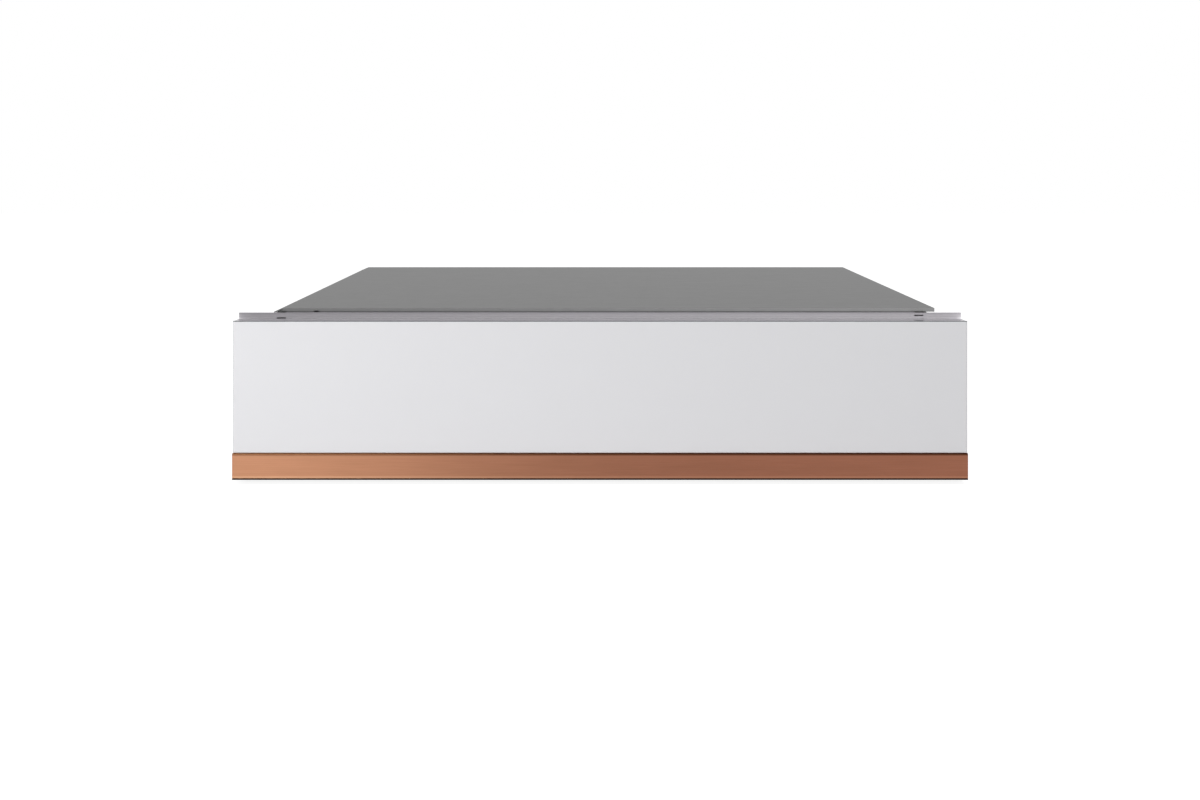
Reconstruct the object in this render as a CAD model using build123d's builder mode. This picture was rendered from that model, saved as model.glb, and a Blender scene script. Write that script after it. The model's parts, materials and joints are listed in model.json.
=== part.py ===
from build123d import *
import os
from math import cos, radians

os.makedirs("parts", exist_ok=True)

# A built-in vacuum sealing drawer. The origin is the middle of the base, +Z is up,
# +X is to the right of someone who stands before the drawer, and the front faces -Y.

# Front panel
front_width = 595.0
front_height = 128.5
front_thickness = 21.5
glass_thickness = 4.0
glass_inset = 0.3
glass_bevel = 0.6
strip_height = 21.4
strip_proud = 1.0
strip_wall = 1.8
strip_edge_radius = 0.8
front_joint = 0.4
front_sheet = 1.2
end_cap_thickness = 1.2
end_cap_plug = 8.0
end_cap_fit = 0.2
clip_notch_inset = 109.1
clip_notch_length = 8.0
clip_notch_depth = 2.4

# Housing that stays in the cabinet
overall_height = 140.0
housing_sheet = 1.5
cover_length = 500.0
cover_sheet = 1.0
cover_fold_run = 7.0
cover_overhang = 7.0
cover_above_front = 7.6
cover_setback = 32.0
cover_fold_drop = 3.0
cover_hem = 3.0
cover_notch_setback = 28.2
cover_notch_width = 4.0
cover_notch_height = 1.6
shell_seat = 0.5
flange_setback = 25.5
flange_leg = 27.5
flange_sheet = 1.5
flange_below_cover = 3.2
flange_base_bar = 6.0
flange_header = 5.6
flange_shelf_length = 14.0
flange_shelf_gap = 2.0
flange_screw_diameter = 4.5
flange_screw_slot = 3.5
flange_screw_inset = 11.0
flange_screw_pitch = 80.0
flange_screw_low = 28.0
tongue_slot_width = 7.5
tongue_slot_height = 1.0
tongue_slot_inset = 7.3
tongue_drop_left = 4.4
tongue_drop_right = 2.2
shell_ledge = 20.0
ledge_gap = 0.5
inlet_projection = 6.5
screw_hole_radius = 2.2
vent_slot_width = 4.0
vent_slot_length = 34.0
vent_slot_pitch = 9.0
vent_slot_count = 12
vent_height = 88.0
wall_vent_setback = 45.0
wall_vent_count = 6
floor_rib_pitch = 130.0
floor_rib_count = 4
floor_rib_margin = 45.0
floor_rib_width = 12.0
floor_rib_height = 1.0

# Ball-bearing runners
runner_length = 450.0
runner_thickness = 12.7
runner_height = 45.0
runner_sheet = 1.2
runner_centre = 52.0
runner_setback = 30.0
runner_web_gap = 0.8
runner_outer_depth = 9.0
runner_middle_depth = 8.5
runner_inner_depth = 8.2
runner_hole_count = 4
outer_hole_pitch = 128.0
outer_hole_radius = 2.5
inner_hole_pitch = 96.0
middle_slot_length = 26.0
middle_slot_width = 8.0
middle_slot_inset = 30.0
ball_diameter = 3.2
ball_clearance = 0.05
ball_pitch = 75.0
ball_count = 3
cage_sheet = 0.8
cage_length = 200.0
cage_end_margin = 12.0
cage_width = 5.0
ball_hole_fit = 0.1
drawer_travel = 440.0
push_travel = 2.5

# Drawer body
tray_sheet = 1.5
tray_length = 460.0
tray_lift = 8.0
deck_sheet = 1.2
deck_height = 104.0
deck_length = 348.0
deck_opening_gap = 0.5
rear_cover_height = 120.0

# Vacuum chamber
chamber_from_wall = 79.3
chamber_length = 246.0
chamber_above_tray = 6.5
chamber_corner = 38.0
chamber_floor_radius = 12.0
chamber_sheet = 1.2
chamber_rim = 15.0
chamber_setback = 72.0
gasket_width = 7.0
gasket_height = 3.6
gasket_base = 1.2
lid_rest_gap = 0.5

# Glass lid and its hinge
lid_side_gap = 5.8
lid_length = 285.0
lid_thickness = 8.0
lid_corner = 10.0
lid_setback = 57.0
hinge_behind_lid = 9.0
hinge_rise = 2.0
hinge_pin_diameter = 6.0
hinge_pin_fit = 0.05
hinge_inset = 50.0
hinge_knuckle_width = 30.0
hinge_knuckle_wall = 3.5
hinge_ear = 3.0
hinge_ear_gap = 0.4
hinge_clamp_reach = 24.0
hinge_clamp_sheet = 2.5

# Sealing bar and what presses it up
bar_end_gap = 20.0
bar_width = 18.0
bar_height = 20.0
bar_from_wall = 18.0
bar_lift = 8.0
bar_play = 0.5
heat_strip_thickness = 0.4
heat_strip_width = 10.0
heat_strip_inset = 3.0
counter_bar_thickness = 3.2
counter_holder_thickness = 1.6
piston_diameter = 8.0
piston_fit = 0.08
piston_inset = 30.0
cylinder_diameter = 16.0
cylinder_height = 42.0

# Control strip in front of the lid
panel_length = 30.0
panel_gap = 1.5
panel_thickness = 4.0
board_thickness = 1.6

# Pump set behind the chamber
pump_axis_height = 62.0
pump_setback = 412.0
pump_from_wall = 104.3
pump_length = 78.0
pump_size = 84.0
motor_length = 118.0
motor_diameter = 88.0
motor_fins = 16
cowl_length = 32.0
shaft_end_gap = 8.0
shaft_diameter = 8.0
shaft_fit = 0.06
mount_height = 10.0
mount_pitch_x = 44.0
mount_pitch_y = 48.0
motor_fan_diameter = 68.0
motor_fan_blades = 7
filter_diameter = 56.0
filter_height = 84.0
pipe_diameter = 6.0
pipe_bend = 9.0

# Cooling fan in the drawer's rear wall
fan_size = 80.0
fan_depth = 25.0
fan_blades = 7
fan_hub = 32.0
fan_tip_gap = 1.0
fan_above_floor = 6.0
fan_from_wall = 72.3

# Push-to-open mechanism behind the drawer
latch_width = 62.0
latch_height = 24.0
latch_travel = 38.0
latch_gap = 3.2
plunger_width = 20.0
plunger_height = 10.0
plunger_fit = 0.1
plunger_corner = 2.0
plunger_proud = 0.2
plunger_hidden = 2.0
latch_corner = 4.0
latch_foot = 3.0
latch_ear_reach = 17.0
latch_ear_width = 16.0
latch_screw_reach = 9.0
latch_centre_height = 40.0

# Places that follow from the sizes above
overall_length = cover_setback + cover_length + housing_sheet + inlet_projection
y_front = -overall_length / 2
y_glass = y_front + strip_proud
y_carrier = y_glass + glass_thickness
y_front_back = y_front + front_thickness
y_flange = y_front + flange_setback
y_shell = y_flange + flange_sheet
y_shell_front = y_shell - shell_seat
y_cover = y_front + cover_setback
y_rear = y_cover + cover_length
y_rear_back = y_rear + housing_sheet
front_top = overall_height - cover_above_front
front_bottom = front_top - front_height
strip_top = front_bottom + strip_height
flange_top = overall_height - flange_below_cover
header_underside = flange_top - flange_header
cover_underside = overall_height - cover_sheet
half_housing = front_width / 2 - flange_leg
half_inside = half_housing - housing_sheet
half_drawer = half_inside - runner_thickness
half_tray_inside = half_drawer - tray_sheet
chamber_width = 2 * (half_tray_inside - chamber_from_wall)
cover_left = -half_housing + cover_fold_run
cover_right = half_housing + cover_overhang
tray_floor = tray_lift + tray_sheet
deck_underside = deck_height - deck_sheet
y_tray_back = y_front_back + tray_length
y_tray_inside = y_tray_back - tray_sheet
y_deck_back = y_front_back + deck_length
y_chamber_front = y_front + chamber_setback
y_chamber_middle = y_chamber_front + chamber_length / 2
chamber_floor = tray_floor + chamber_above_tray + chamber_sheet
lid_underside = deck_height + chamber_sheet + gasket_height + lid_rest_gap
lid_top = lid_underside + lid_thickness
lid_width = 2 * (half_drawer - lid_side_gap)
hinge_spacing = lid_width - 2 * hinge_inset
y_lid_front = y_front + lid_setback
y_lid_back = y_lid_front + lid_length
y_hinge = y_lid_back + hinge_behind_lid
z_hinge = lid_underside + lid_thickness / 2 + hinge_rise
y_bar = y_chamber_front + bar_from_wall + bar_width / 2
bar_length = chamber_width - 2 * bar_end_gap
piston_spacing = bar_length - 2 * piston_inset
counter_bar_underside = lid_underside - counter_holder_thickness - counter_bar_thickness
bar_top = counter_bar_underside - bar_lift - bar_play - heat_strip_thickness
bar_underside = bar_top - bar_height
y_pump = y_front + pump_setback
pump_left = -half_tray_inside + pump_from_wall
x_motor = pump_left + pump_length
x_cowl = x_motor + motor_length
x_shaft_end = x_cowl + cowl_length - shaft_end_gap
y_fan = y_tray_inside - fan_depth
z_fan = tray_floor + fan_size / 2 + fan_above_floor
fan_centre_x = half_tray_inside - fan_from_wall
y_latch = y_tray_back + latch_gap
# A cage runs a quarter of the drawer's travel before it meets the end of its channel
y_cage = y_front + runner_setback + drawer_travel / 4 + cage_end_margin + cage_length / 2


def sheet_corners(left, right, low, high, thickness):
    """Corner points of the middle line of a folded sheet whose outside is given."""
    half = thickness / 2
    return left + half, right - half, low + half, high - half


# Housing shell: floor, side walls and ledges folded from one sheet. The left wall leans in
# under the cover's sloping fold.
fold_slope = cover_fold_drop / cover_fold_run
wall_left, wall_right, wall_low, wall_high = sheet_corners(
    -half_housing, half_housing, 0, cover_underside, housing_sheet
)
with BuildPart() as housing_shell:
    with BuildSketch(Plane.XZ.offset(-y_shell_front)):
        with BuildLine():
            Polyline(
                (-half_inside + cover_fold_run + shell_ledge, wall_high),
                (wall_left + cover_fold_run, wall_high),
                (wall_left, wall_high - cover_fold_drop),
                (wall_left, wall_low),
                (wall_right, wall_low),
                (wall_right, wall_high),
                (half_inside - shell_ledge, wall_high),
            )
        trace(line_width=housing_sheet)
    extrude(amount=-(y_rear - y_shell_front))
    # The ledges start behind the cover's front lip
    with BuildSketch(Plane.XZ.offset(-y_shell_front)):
        with Locations((0, flange_top)):
            Rectangle(4 * half_housing, cover_underside, align=(Align.CENTER, Align.MIN))
    extrude(amount=-(y_cover + cover_sheet + ledge_gap - y_shell_front), mode=Mode.SUBTRACT)
    # Cooling slots low in both side walls, behind the runners
    with BuildSketch(Plane.YZ):
        with Locations((y_rear - wall_vent_setback, vent_height)):
            with GridLocations(vent_slot_pitch, 1, wall_vent_count, 1):
                Rectangle(vent_slot_width, vent_slot_length)
    extrude(amount=2 * half_housing, both=True, mode=Mode.SUBTRACT)
    # Pressed stiffening ribs run along the floor
    with BuildSketch(Plane.XY.offset(housing_sheet)):
        with Locations((0, y_cover + cover_length / 2)):
            with GridLocations(floor_rib_pitch, 1, floor_rib_count, 1):
                SlotOverall(cover_length - 2 * floor_rib_margin, floor_rib_width, rotation=90)
    extrude(amount=floor_rib_height)
housing_shell.part.label = "housing_shell"
export_step(housing_shell.part, "parts/housing_shell.step")

# Top cover: a flat sheet with a sloping fold on the left, a lip at the front and a hem
# that stands over the right wall. A small notch is cut in the lip.
lip_underside = overall_height - cover_hem
with BuildPart() as top_cover:
    with BuildSketch(Plane.XZ.offset(-y_cover)):
        with BuildLine():
            Polyline(
                (-half_housing, overall_height - cover_fold_drop),
                (cover_left, overall_height),
                (cover_right, overall_height),
                (cover_right, lip_underside),
                (cover_right - cover_sheet, lip_underside),
                (cover_right - cover_sheet, cover_underside),
                (cover_left + cover_sheet * fold_slope / 2, cover_underside),
                (-half_housing, overall_height - cover_fold_drop - cover_sheet),
                close=True,
            )
        make_face()
    extrude(amount=-cover_length)
    with BuildSketch(Plane.XZ.offset(-y_cover)):
        with Locations((cover_left, lip_underside)):
            Rectangle(cover_right - cover_left, cover_hem, align=(Align.MIN, Align.MIN))
    extrude(amount=-cover_sheet)
    with BuildSketch(Plane.XZ.offset(-y_cover)):
        with Locations((cover_left + cover_notch_setback, lip_underside)):
            Rectangle(cover_notch_width, cover_notch_height)
    extrude(amount=-cover_sheet, mode=Mode.SUBTRACT)
top_cover.part.label = "top_cover"
export_step(top_cover.part, "parts/top_cover.step")

# Front flange: a flat frame as wide as the front panel that closes the niche round the
# housing, with a shelf folded back under the cover's lip. Its screw slots take the screws
# into the cabinet's sides, and the small slots beside the shelf take the cover's tongues.
shelf_half = half_inside - cover_fold_run - flange_shelf_gap
with BuildPart() as front_flange:
    with BuildSketch(Plane.XZ.offset(-y_flange)):
        with Locations((0, flange_top / 2)):
            Rectangle(front_width, flange_top)
        with Locations((0, flange_base_bar)):
            Rectangle(
                2 * half_inside,
                header_underside - flange_base_bar,
                align=(Align.CENTER, Align.MIN),
                mode=Mode.SUBTRACT,
            )
        with Locations((0, flange_screw_low + flange_screw_pitch / 2)):
            with GridLocations(front_width - 2 * flange_screw_inset, flange_screw_pitch, 2, 2):
                SlotOverall(
                    flange_screw_diameter + flange_screw_slot, flange_screw_diameter, mode=Mode.SUBTRACT
                )
        tongue_x = half_housing - tongue_slot_inset
        tongue_left = (-tongue_x, flange_top - tongue_drop_left)
        tongue_right = (tongue_x, flange_top - tongue_drop_right)
        with Locations(tongue_left, tongue_right):
            Rectangle(tongue_slot_width, tongue_slot_height, mode=Mode.SUBTRACT)
    extrude(amount=-flange_sheet)
    with BuildSketch(Plane.XZ.offset(-y_shell)):
        with Locations((0, flange_top)):
            Rectangle(2 * shelf_half, flange_sheet, align=(Align.CENTER, Align.MAX))
    extrude(amount=-flange_shelf_length)
    # The shell's front edge is let into the flange's back
    add(housing_shell.part, mode=Mode.SUBTRACT)
front_flange.part.label = "front_flange"
export_step(front_flange.part, "parts/front_flange.step")

# Rear panel with cooling slots and the cable inlet's hole
inlet_diameter = 22.0
inlet_from_side = 65.0
inlet_x = half_housing - inlet_from_side
inlet_height = 60.0
inlet_bore = 9.0
inlet_thread = 14.0
inlet_collar_radius = 15.0
inlet_nose_radius = 9.0
inlet_nose_length = 2.0
inlet_fit = 0.2
rear_vent_inset = 120.0
frame_depth = 12.0
frame_width = 14.0
frame_gap = 0.3
rear_top = cover_underside - housing_sheet - frame_gap
with BuildPart() as rear_panel:
    with BuildSketch(Plane.XZ.offset(-y_rear)):
        with Locations((0, rear_top / 2)):
            Rectangle(2 * half_housing, rear_top)
        with Locations((0, vent_height)):
            with GridLocations(2 * (half_housing - rear_vent_inset), 1, 2, 1):
                with GridLocations(vent_slot_pitch, 1, vent_slot_count, 1):
                    Rectangle(vent_slot_width, vent_slot_length, mode=Mode.SUBTRACT)
        with Locations((inlet_x, inlet_height)):
            Circle(inlet_diameter / 2, mode=Mode.SUBTRACT)
    extrude(amount=-housing_sheet)
rear_panel.part.label = "rear_panel"
export_step(rear_panel.part, "parts/rear_panel.step")

# Angle frame welded inside the shell's rear end, which the panel is screwed to
frame_low = housing_sheet + frame_gap
frame_high = rear_top - cover_fold_drop - 2 * frame_gap
with BuildPart() as rear_frame:
    for frame_wall, frame_reach in ((frame_width, housing_sheet), (housing_sheet, frame_depth)):
        with BuildSketch(Plane.XZ.offset(-y_rear)):
            with Locations((0, (frame_low + frame_high) / 2)):
                Rectangle(2 * (half_inside - frame_gap), frame_high - frame_low)
            offset(amount=-frame_wall, kind=Kind.INTERSECTION, mode=Mode.SUBTRACT)
        extrude(amount=frame_reach)
rear_frame.part.label = "rear_frame"
export_step(rear_frame.part, "parts/rear_frame.step")

# Pan-head screws that hold the rear panel on its frame
screw_head_radius = 3.6
screw_head_height = 2.2
screw_row_inset = 45.0
screw_row_spacing = (2 * half_housing - 2 * screw_row_inset) / 3
screw_low = 9.0
screw_high = rear_top - 7.0
recess_length = 3.6
recess_width = 0.9
with BuildPart() as rear_screws:
    with BuildSketch(Plane.XZ.offset(-y_rear_back)):
        for screw_height in (screw_low, screw_high):
            with Locations((0, screw_height)):
                with GridLocations(screw_row_spacing, 1, 4, 1):
                    RegularPolygon(radius=screw_head_radius, side_count=12)
    extrude(amount=-screw_head_height)
    chamfer(rear_screws.faces().sort_by(Axis.Y)[-8:].edges(), length=screw_head_height / 3)
    with BuildSketch(Plane.XZ.offset(-(y_rear_back + screw_head_height))):
        for screw_height in (screw_low, screw_high):
            with Locations((0, screw_height)):
                with GridLocations(screw_row_spacing, 1, 4, 1):
                    Rectangle(recess_length, recess_width)
                    Rectangle(recess_width, recess_length)
    extrude(amount=screw_head_height / 2, mode=Mode.SUBTRACT)
rear_screws.part.label = "rear_screws"
export_step(rear_screws.part, "parts/rear_screws.step")

# Cable inlet: a threaded gland with its hexagon collar outside the rear panel
with BuildPart() as cable_inlet:
    with BuildSketch(Plane.XZ.offset(-y_rear_back)):
        with Locations((inlet_x, inlet_height)):
            RegularPolygon(radius=inlet_collar_radius, side_count=6)
    extrude(amount=-(inlet_projection - inlet_nose_length))
    with BuildSketch(Plane.XZ.offset(-y_rear_back)):
        with Locations((inlet_x, inlet_height)):
            Circle(inlet_nose_radius)
    extrude(amount=-inlet_projection)
    with BuildSketch(Plane.XZ.offset(-y_rear_back)):
        with Locations((inlet_x, inlet_height)):
            Circle(inlet_diameter / 2 - inlet_fit)
    extrude(amount=inlet_thread)
    with BuildSketch(Plane.XZ.offset(-y_rear_back - inlet_projection)):
        with Locations((inlet_x, inlet_height)):
            Circle(inlet_bore / 2)
    extrude(amount=inlet_projection + inlet_thread, mode=Mode.SUBTRACT)
cable_inlet.part.label = "cable_inlet"
export_step(cable_inlet.part, "parts/cable_inlet.step")

# Rubber buffers on the flange that the closed front panel stands against, with the push
# travel left free before them
buffer_diameter = 11.0
buffer_spacing = 96.0
buffer_gap = 0.3
buffer_thickness = y_flange - y_front_back - push_travel - buffer_gap
with BuildPart() as front_buffers:
    with BuildSketch(Plane.XZ.offset(-y_flange)):
        with Locations((0, (flange_top + flange_base_bar) / 2)):
            with GridLocations(front_width - 2 * flange_screw_inset, buffer_spacing, 2, 2):
                RegularPolygon(radius=buffer_diameter / 2, side_count=12)
    extrude(amount=buffer_thickness)
    chamfer(front_buffers.faces().group_by(Axis.Y)[0].edges(), length=buffer_thickness / 3)
front_buffers.part.label = "front_buffers"
export_step(front_buffers.part, "parts/front_buffers.step")


def channel_points(web_x, reach, depth, half_height):
    """Middle line of a runner's C section, whose web has its outside at web_x.

    reach is +1 when the flanges point to +X from the web, and -1 when they point to -X.
    """
    x_web = web_x + reach * runner_sheet / 2
    x_tip = web_x + reach * depth
    top = runner_centre + half_height - runner_sheet / 2
    bottom = runner_centre - half_height + runner_sheet / 2
    return [(x_tip, top), (x_web, top), (x_web, bottom), (x_tip, bottom)]


# Runners: three nested C sections a side, with balls in cages between them
y_runner = y_front + runner_setback
outer_half = runner_height / 2
ball_gap = ball_diameter + 2 * ball_clearance
middle_half = outer_half - runner_sheet - ball_gap
inner_half = middle_half - runner_sheet - ball_gap
sides = {"left": -1, "right": 1}
# The balls have flat facets, because there are many of them and they hardly show
facet_turn = 22.5
with BuildPart() as ball:
    Box(ball_diameter, ball_diameter, ball_diameter)
    for ball_plane in (Plane.XY, Plane.XZ, Plane.YZ):
        with BuildSketch(ball_plane):
            RegularPolygon(radius=ball_diameter / 2, side_count=8, major_radius=False, rotation=facet_turn)
        extrude(amount=ball_diameter, both=True, mode=Mode.INTERSECT)

for side_name, side in sides.items():
    with BuildPart() as runner_outer:
        with BuildSketch(Plane.XZ.offset(-y_runner)):
            with BuildLine():
                Polyline(*channel_points(side * half_inside, -side, runner_outer_depth, outer_half))
            trace(line_width=runner_sheet)
        extrude(amount=-runner_length)
        with BuildSketch(Plane.YZ.offset(side * (half_inside - runner_sheet))):
            with Locations((y_runner + runner_length / 2, runner_centre)):
                with GridLocations(outer_hole_pitch, 1, runner_hole_count, 1):
                    Circle(outer_hole_radius)
        extrude(amount=side * runner_sheet, mode=Mode.SUBTRACT)
    runner_outer.part.label = f"runner_outer_{side_name}"
    export_step(runner_outer.part, f"parts/runner_outer_{side_name}.step")

    x_middle = side * (half_inside - runner_sheet - runner_web_gap)
    with BuildPart() as runner_middle:
        with BuildSketch(Plane.XZ.offset(-y_runner)):
            with BuildLine():
                Polyline(*channel_points(x_middle, -side, runner_middle_depth, middle_half))
            trace(line_width=runner_sheet)
        extrude(amount=-runner_length)
        with BuildSketch(Plane.YZ.offset(x_middle - side * runner_sheet)):
            with Locations((y_runner + runner_length / 2, runner_centre)):
                with GridLocations(runner_length - 2 * middle_slot_inset, 1, 2, 1):
                    SlotOverall(middle_slot_length, middle_slot_width)
        extrude(amount=side * runner_sheet, mode=Mode.SUBTRACT)
    runner_middle.part.label = f"runner_middle_{side_name}"
    export_step(runner_middle.part, f"parts/runner_middle_{side_name}.step")

    x_inner = side * (half_inside - runner_thickness)
    with BuildPart() as runner_inner:
        with BuildSketch(Plane.XZ.offset(-y_runner)):
            with BuildLine():
                Polyline(*channel_points(x_inner, side, runner_inner_depth, inner_half))
            trace(line_width=runner_sheet)
        extrude(amount=-runner_length)
        with BuildSketch(Plane.YZ.offset(x_inner)):
            with Locations((y_runner + runner_length / 2, runner_centre)):
                with GridLocations(inner_hole_pitch, 1, runner_hole_count, 1):
                    Circle(screw_hole_radius)
        extrude(amount=side * runner_sheet, mode=Mode.SUBTRACT)
    runner_inner.part.label = f"runner_inner_{side_name}"
    export_step(runner_inner.part, f"parts/runner_inner_{side_name}.step")

    # Each cage is one strip above and one below, with its balls standing in its holes
    x_cage = side * (half_inside - runner_sheet - runner_web_gap - runner_middle_depth / 2)
    cage_levels = {"outer": middle_half + ball_gap / 2, "inner": inner_half + ball_gap / 2}
    for level_name, level in cage_levels.items():
        with BuildPart() as ball_cage:
            for up in (1, -1):
                with BuildSketch(Plane.XY.offset(runner_centre + up * level - cage_sheet / 2)):
                    with Locations((x_cage, y_cage)):
                        Rectangle(cage_width, cage_length)
                        with GridLocations(1, ball_pitch, 1, ball_count):
                            RegularPolygon(
                                radius=ball_diameter / 2 + ball_hole_fit,
                                side_count=8,
                                major_radius=False,
                                rotation=facet_turn,
                                mode=Mode.SUBTRACT,
                            )
                extrude(amount=cage_sheet)
                with Locations((x_cage, y_cage, runner_centre + up * level)):
                    with GridLocations(1, ball_pitch, 1, ball_count):
                        add(ball.part)
        ball_cage.part.label = f"ball_cage_{level_name}_{side_name}"
        export_step(ball_cage.part, f"parts/ball_cage_{level_name}_{side_name}.step")

# Push-to-open mechanism: a block on the rear panel and the plunger that sends the drawer out
with BuildPart() as push_latch:
    with BuildSketch(Plane.XZ.offset(-y_latch)):
        with Locations((0, latch_centre_height)):
            RectangleRounded(latch_width, latch_height, latch_corner)
    extrude(amount=-(y_rear - y_latch))
    with BuildSketch(Plane.XZ.offset(-y_latch)):
        with Locations((0, latch_centre_height)):
            Rectangle(plunger_width, plunger_height)
    extrude(amount=-(latch_travel + 2 * plunger_hidden), mode=Mode.SUBTRACT)
    # Foot with its two screw ears on the rear panel
    with BuildSketch(Plane.XZ.offset(-(y_rear - latch_foot))):
        with Locations((0, latch_centre_height)):
            SlotOverall(latch_width + 2 * latch_ear_reach, latch_ear_width)
            with GridLocations(latch_width + 2 * latch_screw_reach, 1, 2, 1):
                Circle(screw_hole_radius, mode=Mode.SUBTRACT)
    extrude(amount=-latch_foot)
push_latch.part.label = "push_latch"
export_step(push_latch.part, "parts/push_latch.step")

with BuildPart() as latch_plunger:
    with BuildSketch(Plane.XZ.offset(-(y_latch - plunger_proud))):
        with Locations((0, latch_centre_height)):
            RectangleRounded(
                plunger_width - 2 * plunger_fit, plunger_height - 2 * plunger_fit, plunger_corner
            )
    extrude(amount=-(latch_travel + plunger_hidden))
latch_plunger.part.label = "latch_plunger"
export_step(latch_plunger.part, "parts/latch_plunger.step")

# Drawer tray: a box of sheet steel hung between the runners, open at the top and the rear.
# Slots in its left wall let the air in.
tray_vent_count = 8
tray_vent_length = 20.0
tray_vent_drop = 18.8
with BuildPart() as drawer_tray:
    with BuildSketch(Plane.XY.offset(tray_lift)):
        with Locations((0, y_front_back)):
            Rectangle(2 * half_drawer, tray_length, align=(Align.CENTER, Align.MIN))
    extrude(amount=deck_underside - tray_lift)
    open_faces = [drawer_tray.faces().sort_by(Axis.Z)[-1], drawer_tray.faces().sort_by(Axis.Y)[-1]]
    offset(amount=-tray_sheet, openings=open_faces)
    with BuildSketch(Plane.YZ.offset(-half_drawer)):
        with Locations((y_pump, deck_underside - tray_vent_drop)):
            with GridLocations(vent_slot_pitch, 1, tray_vent_count, 1):
                Rectangle(vent_slot_width, tray_vent_length)
    extrude(amount=tray_sheet, mode=Mode.SUBTRACT)
drawer_tray.part.label = "drawer_tray"
export_step(drawer_tray.part, "parts/drawer_tray.step")

# Rear wall between the tray's sides, with the round grille that the cooling fan blows through
grille_ring = 10.0
grille_margin = 4.0
grille_web = 2.0
grille_spoke = 3.0
grille_outer = fan_size / 2 - grille_margin
grille_inner = grille_outer - grille_ring
with BuildPart() as tray_rear_wall:
    with BuildSketch(Plane.XZ.offset(-y_tray_inside)):
        with Locations((0, tray_floor)):
            Rectangle(2 * half_tray_inside, deck_underside - tray_floor, align=(Align.CENTER, Align.MIN))
    extrude(amount=-tray_sheet)
    with BuildSketch(Plane.XZ.offset(-y_tray_inside)):
        with Locations((fan_centre_x, z_fan)):
            Circle(grille_outer)
            Circle(grille_inner, mode=Mode.SUBTRACT)
            Circle(grille_inner - grille_web)
            Circle(fan_hub / 2, mode=Mode.SUBTRACT)
            with PolarLocations(0, 4, start_angle=45):
                Rectangle(fan_size, grille_spoke, mode=Mode.SUBTRACT)
    extrude(amount=-tray_sheet, mode=Mode.SUBTRACT)
tray_rear_wall.part.label = "tray_rear_wall"
export_step(tray_rear_wall.part, "parts/tray_rear_wall.step")

# White glass of the front, with polished bevels on its edges
glass_bottom = strip_top + front_joint
with BuildPart() as front_glass:
    with BuildSketch(Plane.XZ.offset(-y_glass)):
        with Locations((0, (glass_bottom + front_top) / 2)):
            Rectangle(front_width - 2 * glass_inset, front_top - glass_bottom)
    extrude(amount=-glass_thickness)
    chamfer(front_glass.faces().sort_by(Axis.Y)[0].edges(), length=glass_bevel)
front_glass.part.label = "front_glass"
export_step(front_glass.part, "parts/front_glass.step")

# Metal trim strip under the glass: a hollow profile, open to the rear, that the glass and
# the front's steel pan stand on
strip_inside = strip_height - 2 * strip_wall
with BuildPart() as trim_strip:
    with BuildSketch(Plane.YZ):
        with Locations((y_front, front_bottom)):
            Rectangle(front_thickness, strip_height, align=(Align.MIN, Align.MIN))
        with Locations((y_front + strip_wall, front_bottom + strip_wall)):
            Rectangle(front_thickness, strip_inside, align=(Align.MIN, Align.MIN), mode=Mode.SUBTRACT)
    extrude(amount=front_width / 2 - end_cap_thickness, both=True)
    front_face = trim_strip.faces().sort_by(Axis.Y)[0]
    fillet(front_face.edges().filter_by(Axis.X), radius=strip_edge_radius)
trim_strip.part.label = "trim_strip"
export_step(trim_strip.part, "parts/trim_strip.step")

with BuildPart() as strip_end_caps:
    with BuildSketch(Plane.YZ.offset(-front_width / 2)):
        with Locations((y_front, front_bottom)):
            Rectangle(front_thickness, strip_height, align=(Align.MIN, Align.MIN))
    extrude(amount=end_cap_thickness)
    with BuildSketch(Plane.YZ.offset(-front_width / 2 + end_cap_thickness)):
        with Locations((y_front + strip_wall + end_cap_fit, front_bottom + strip_wall + end_cap_fit)):
            Rectangle(
                front_thickness - 2 * strip_wall, strip_inside - 2 * end_cap_fit, align=(Align.MIN, Align.MIN)
            )
    extrude(amount=end_cap_plug)
    front_face = strip_end_caps.faces().sort_by(Axis.Y)[0]
    fillet(front_face.edges().filter_by(Axis.X), radius=strip_edge_radius)
    mirror(about=Plane.YZ)
strip_end_caps.part.label = "strip_end_caps"
export_step(strip_end_caps.part, "parts/strip_end_caps.step")

# Steel pan glued behind the glass, with walls folded back all round
pan_top = front_top - glass_inset
with BuildPart() as front_pan:
    with BuildSketch(Plane.XZ.offset(-y_carrier)):
        with Locations((0, strip_top)):
            Rectangle(front_width - 4 * glass_inset, pan_top - strip_top, align=(Align.CENTER, Align.MIN))
    extrude(amount=-(y_front_back - y_carrier))
    offset(amount=-front_sheet, openings=front_pan.faces().sort_by(Axis.Y)[-1])
    # Clip notch in the upper wall, close to the glass
    with BuildSketch(Plane.XY.offset(pan_top)):
        with Locations((-front_width / 2 + clip_notch_inset, y_carrier)):
            Rectangle(clip_notch_length, clip_notch_depth, align=(Align.CENTER, Align.MIN))
    extrude(amount=-front_sheet, mode=Mode.SUBTRACT)
front_pan.part.label = "front_pan"
export_step(front_pan.part, "parts/front_pan.step")

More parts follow.
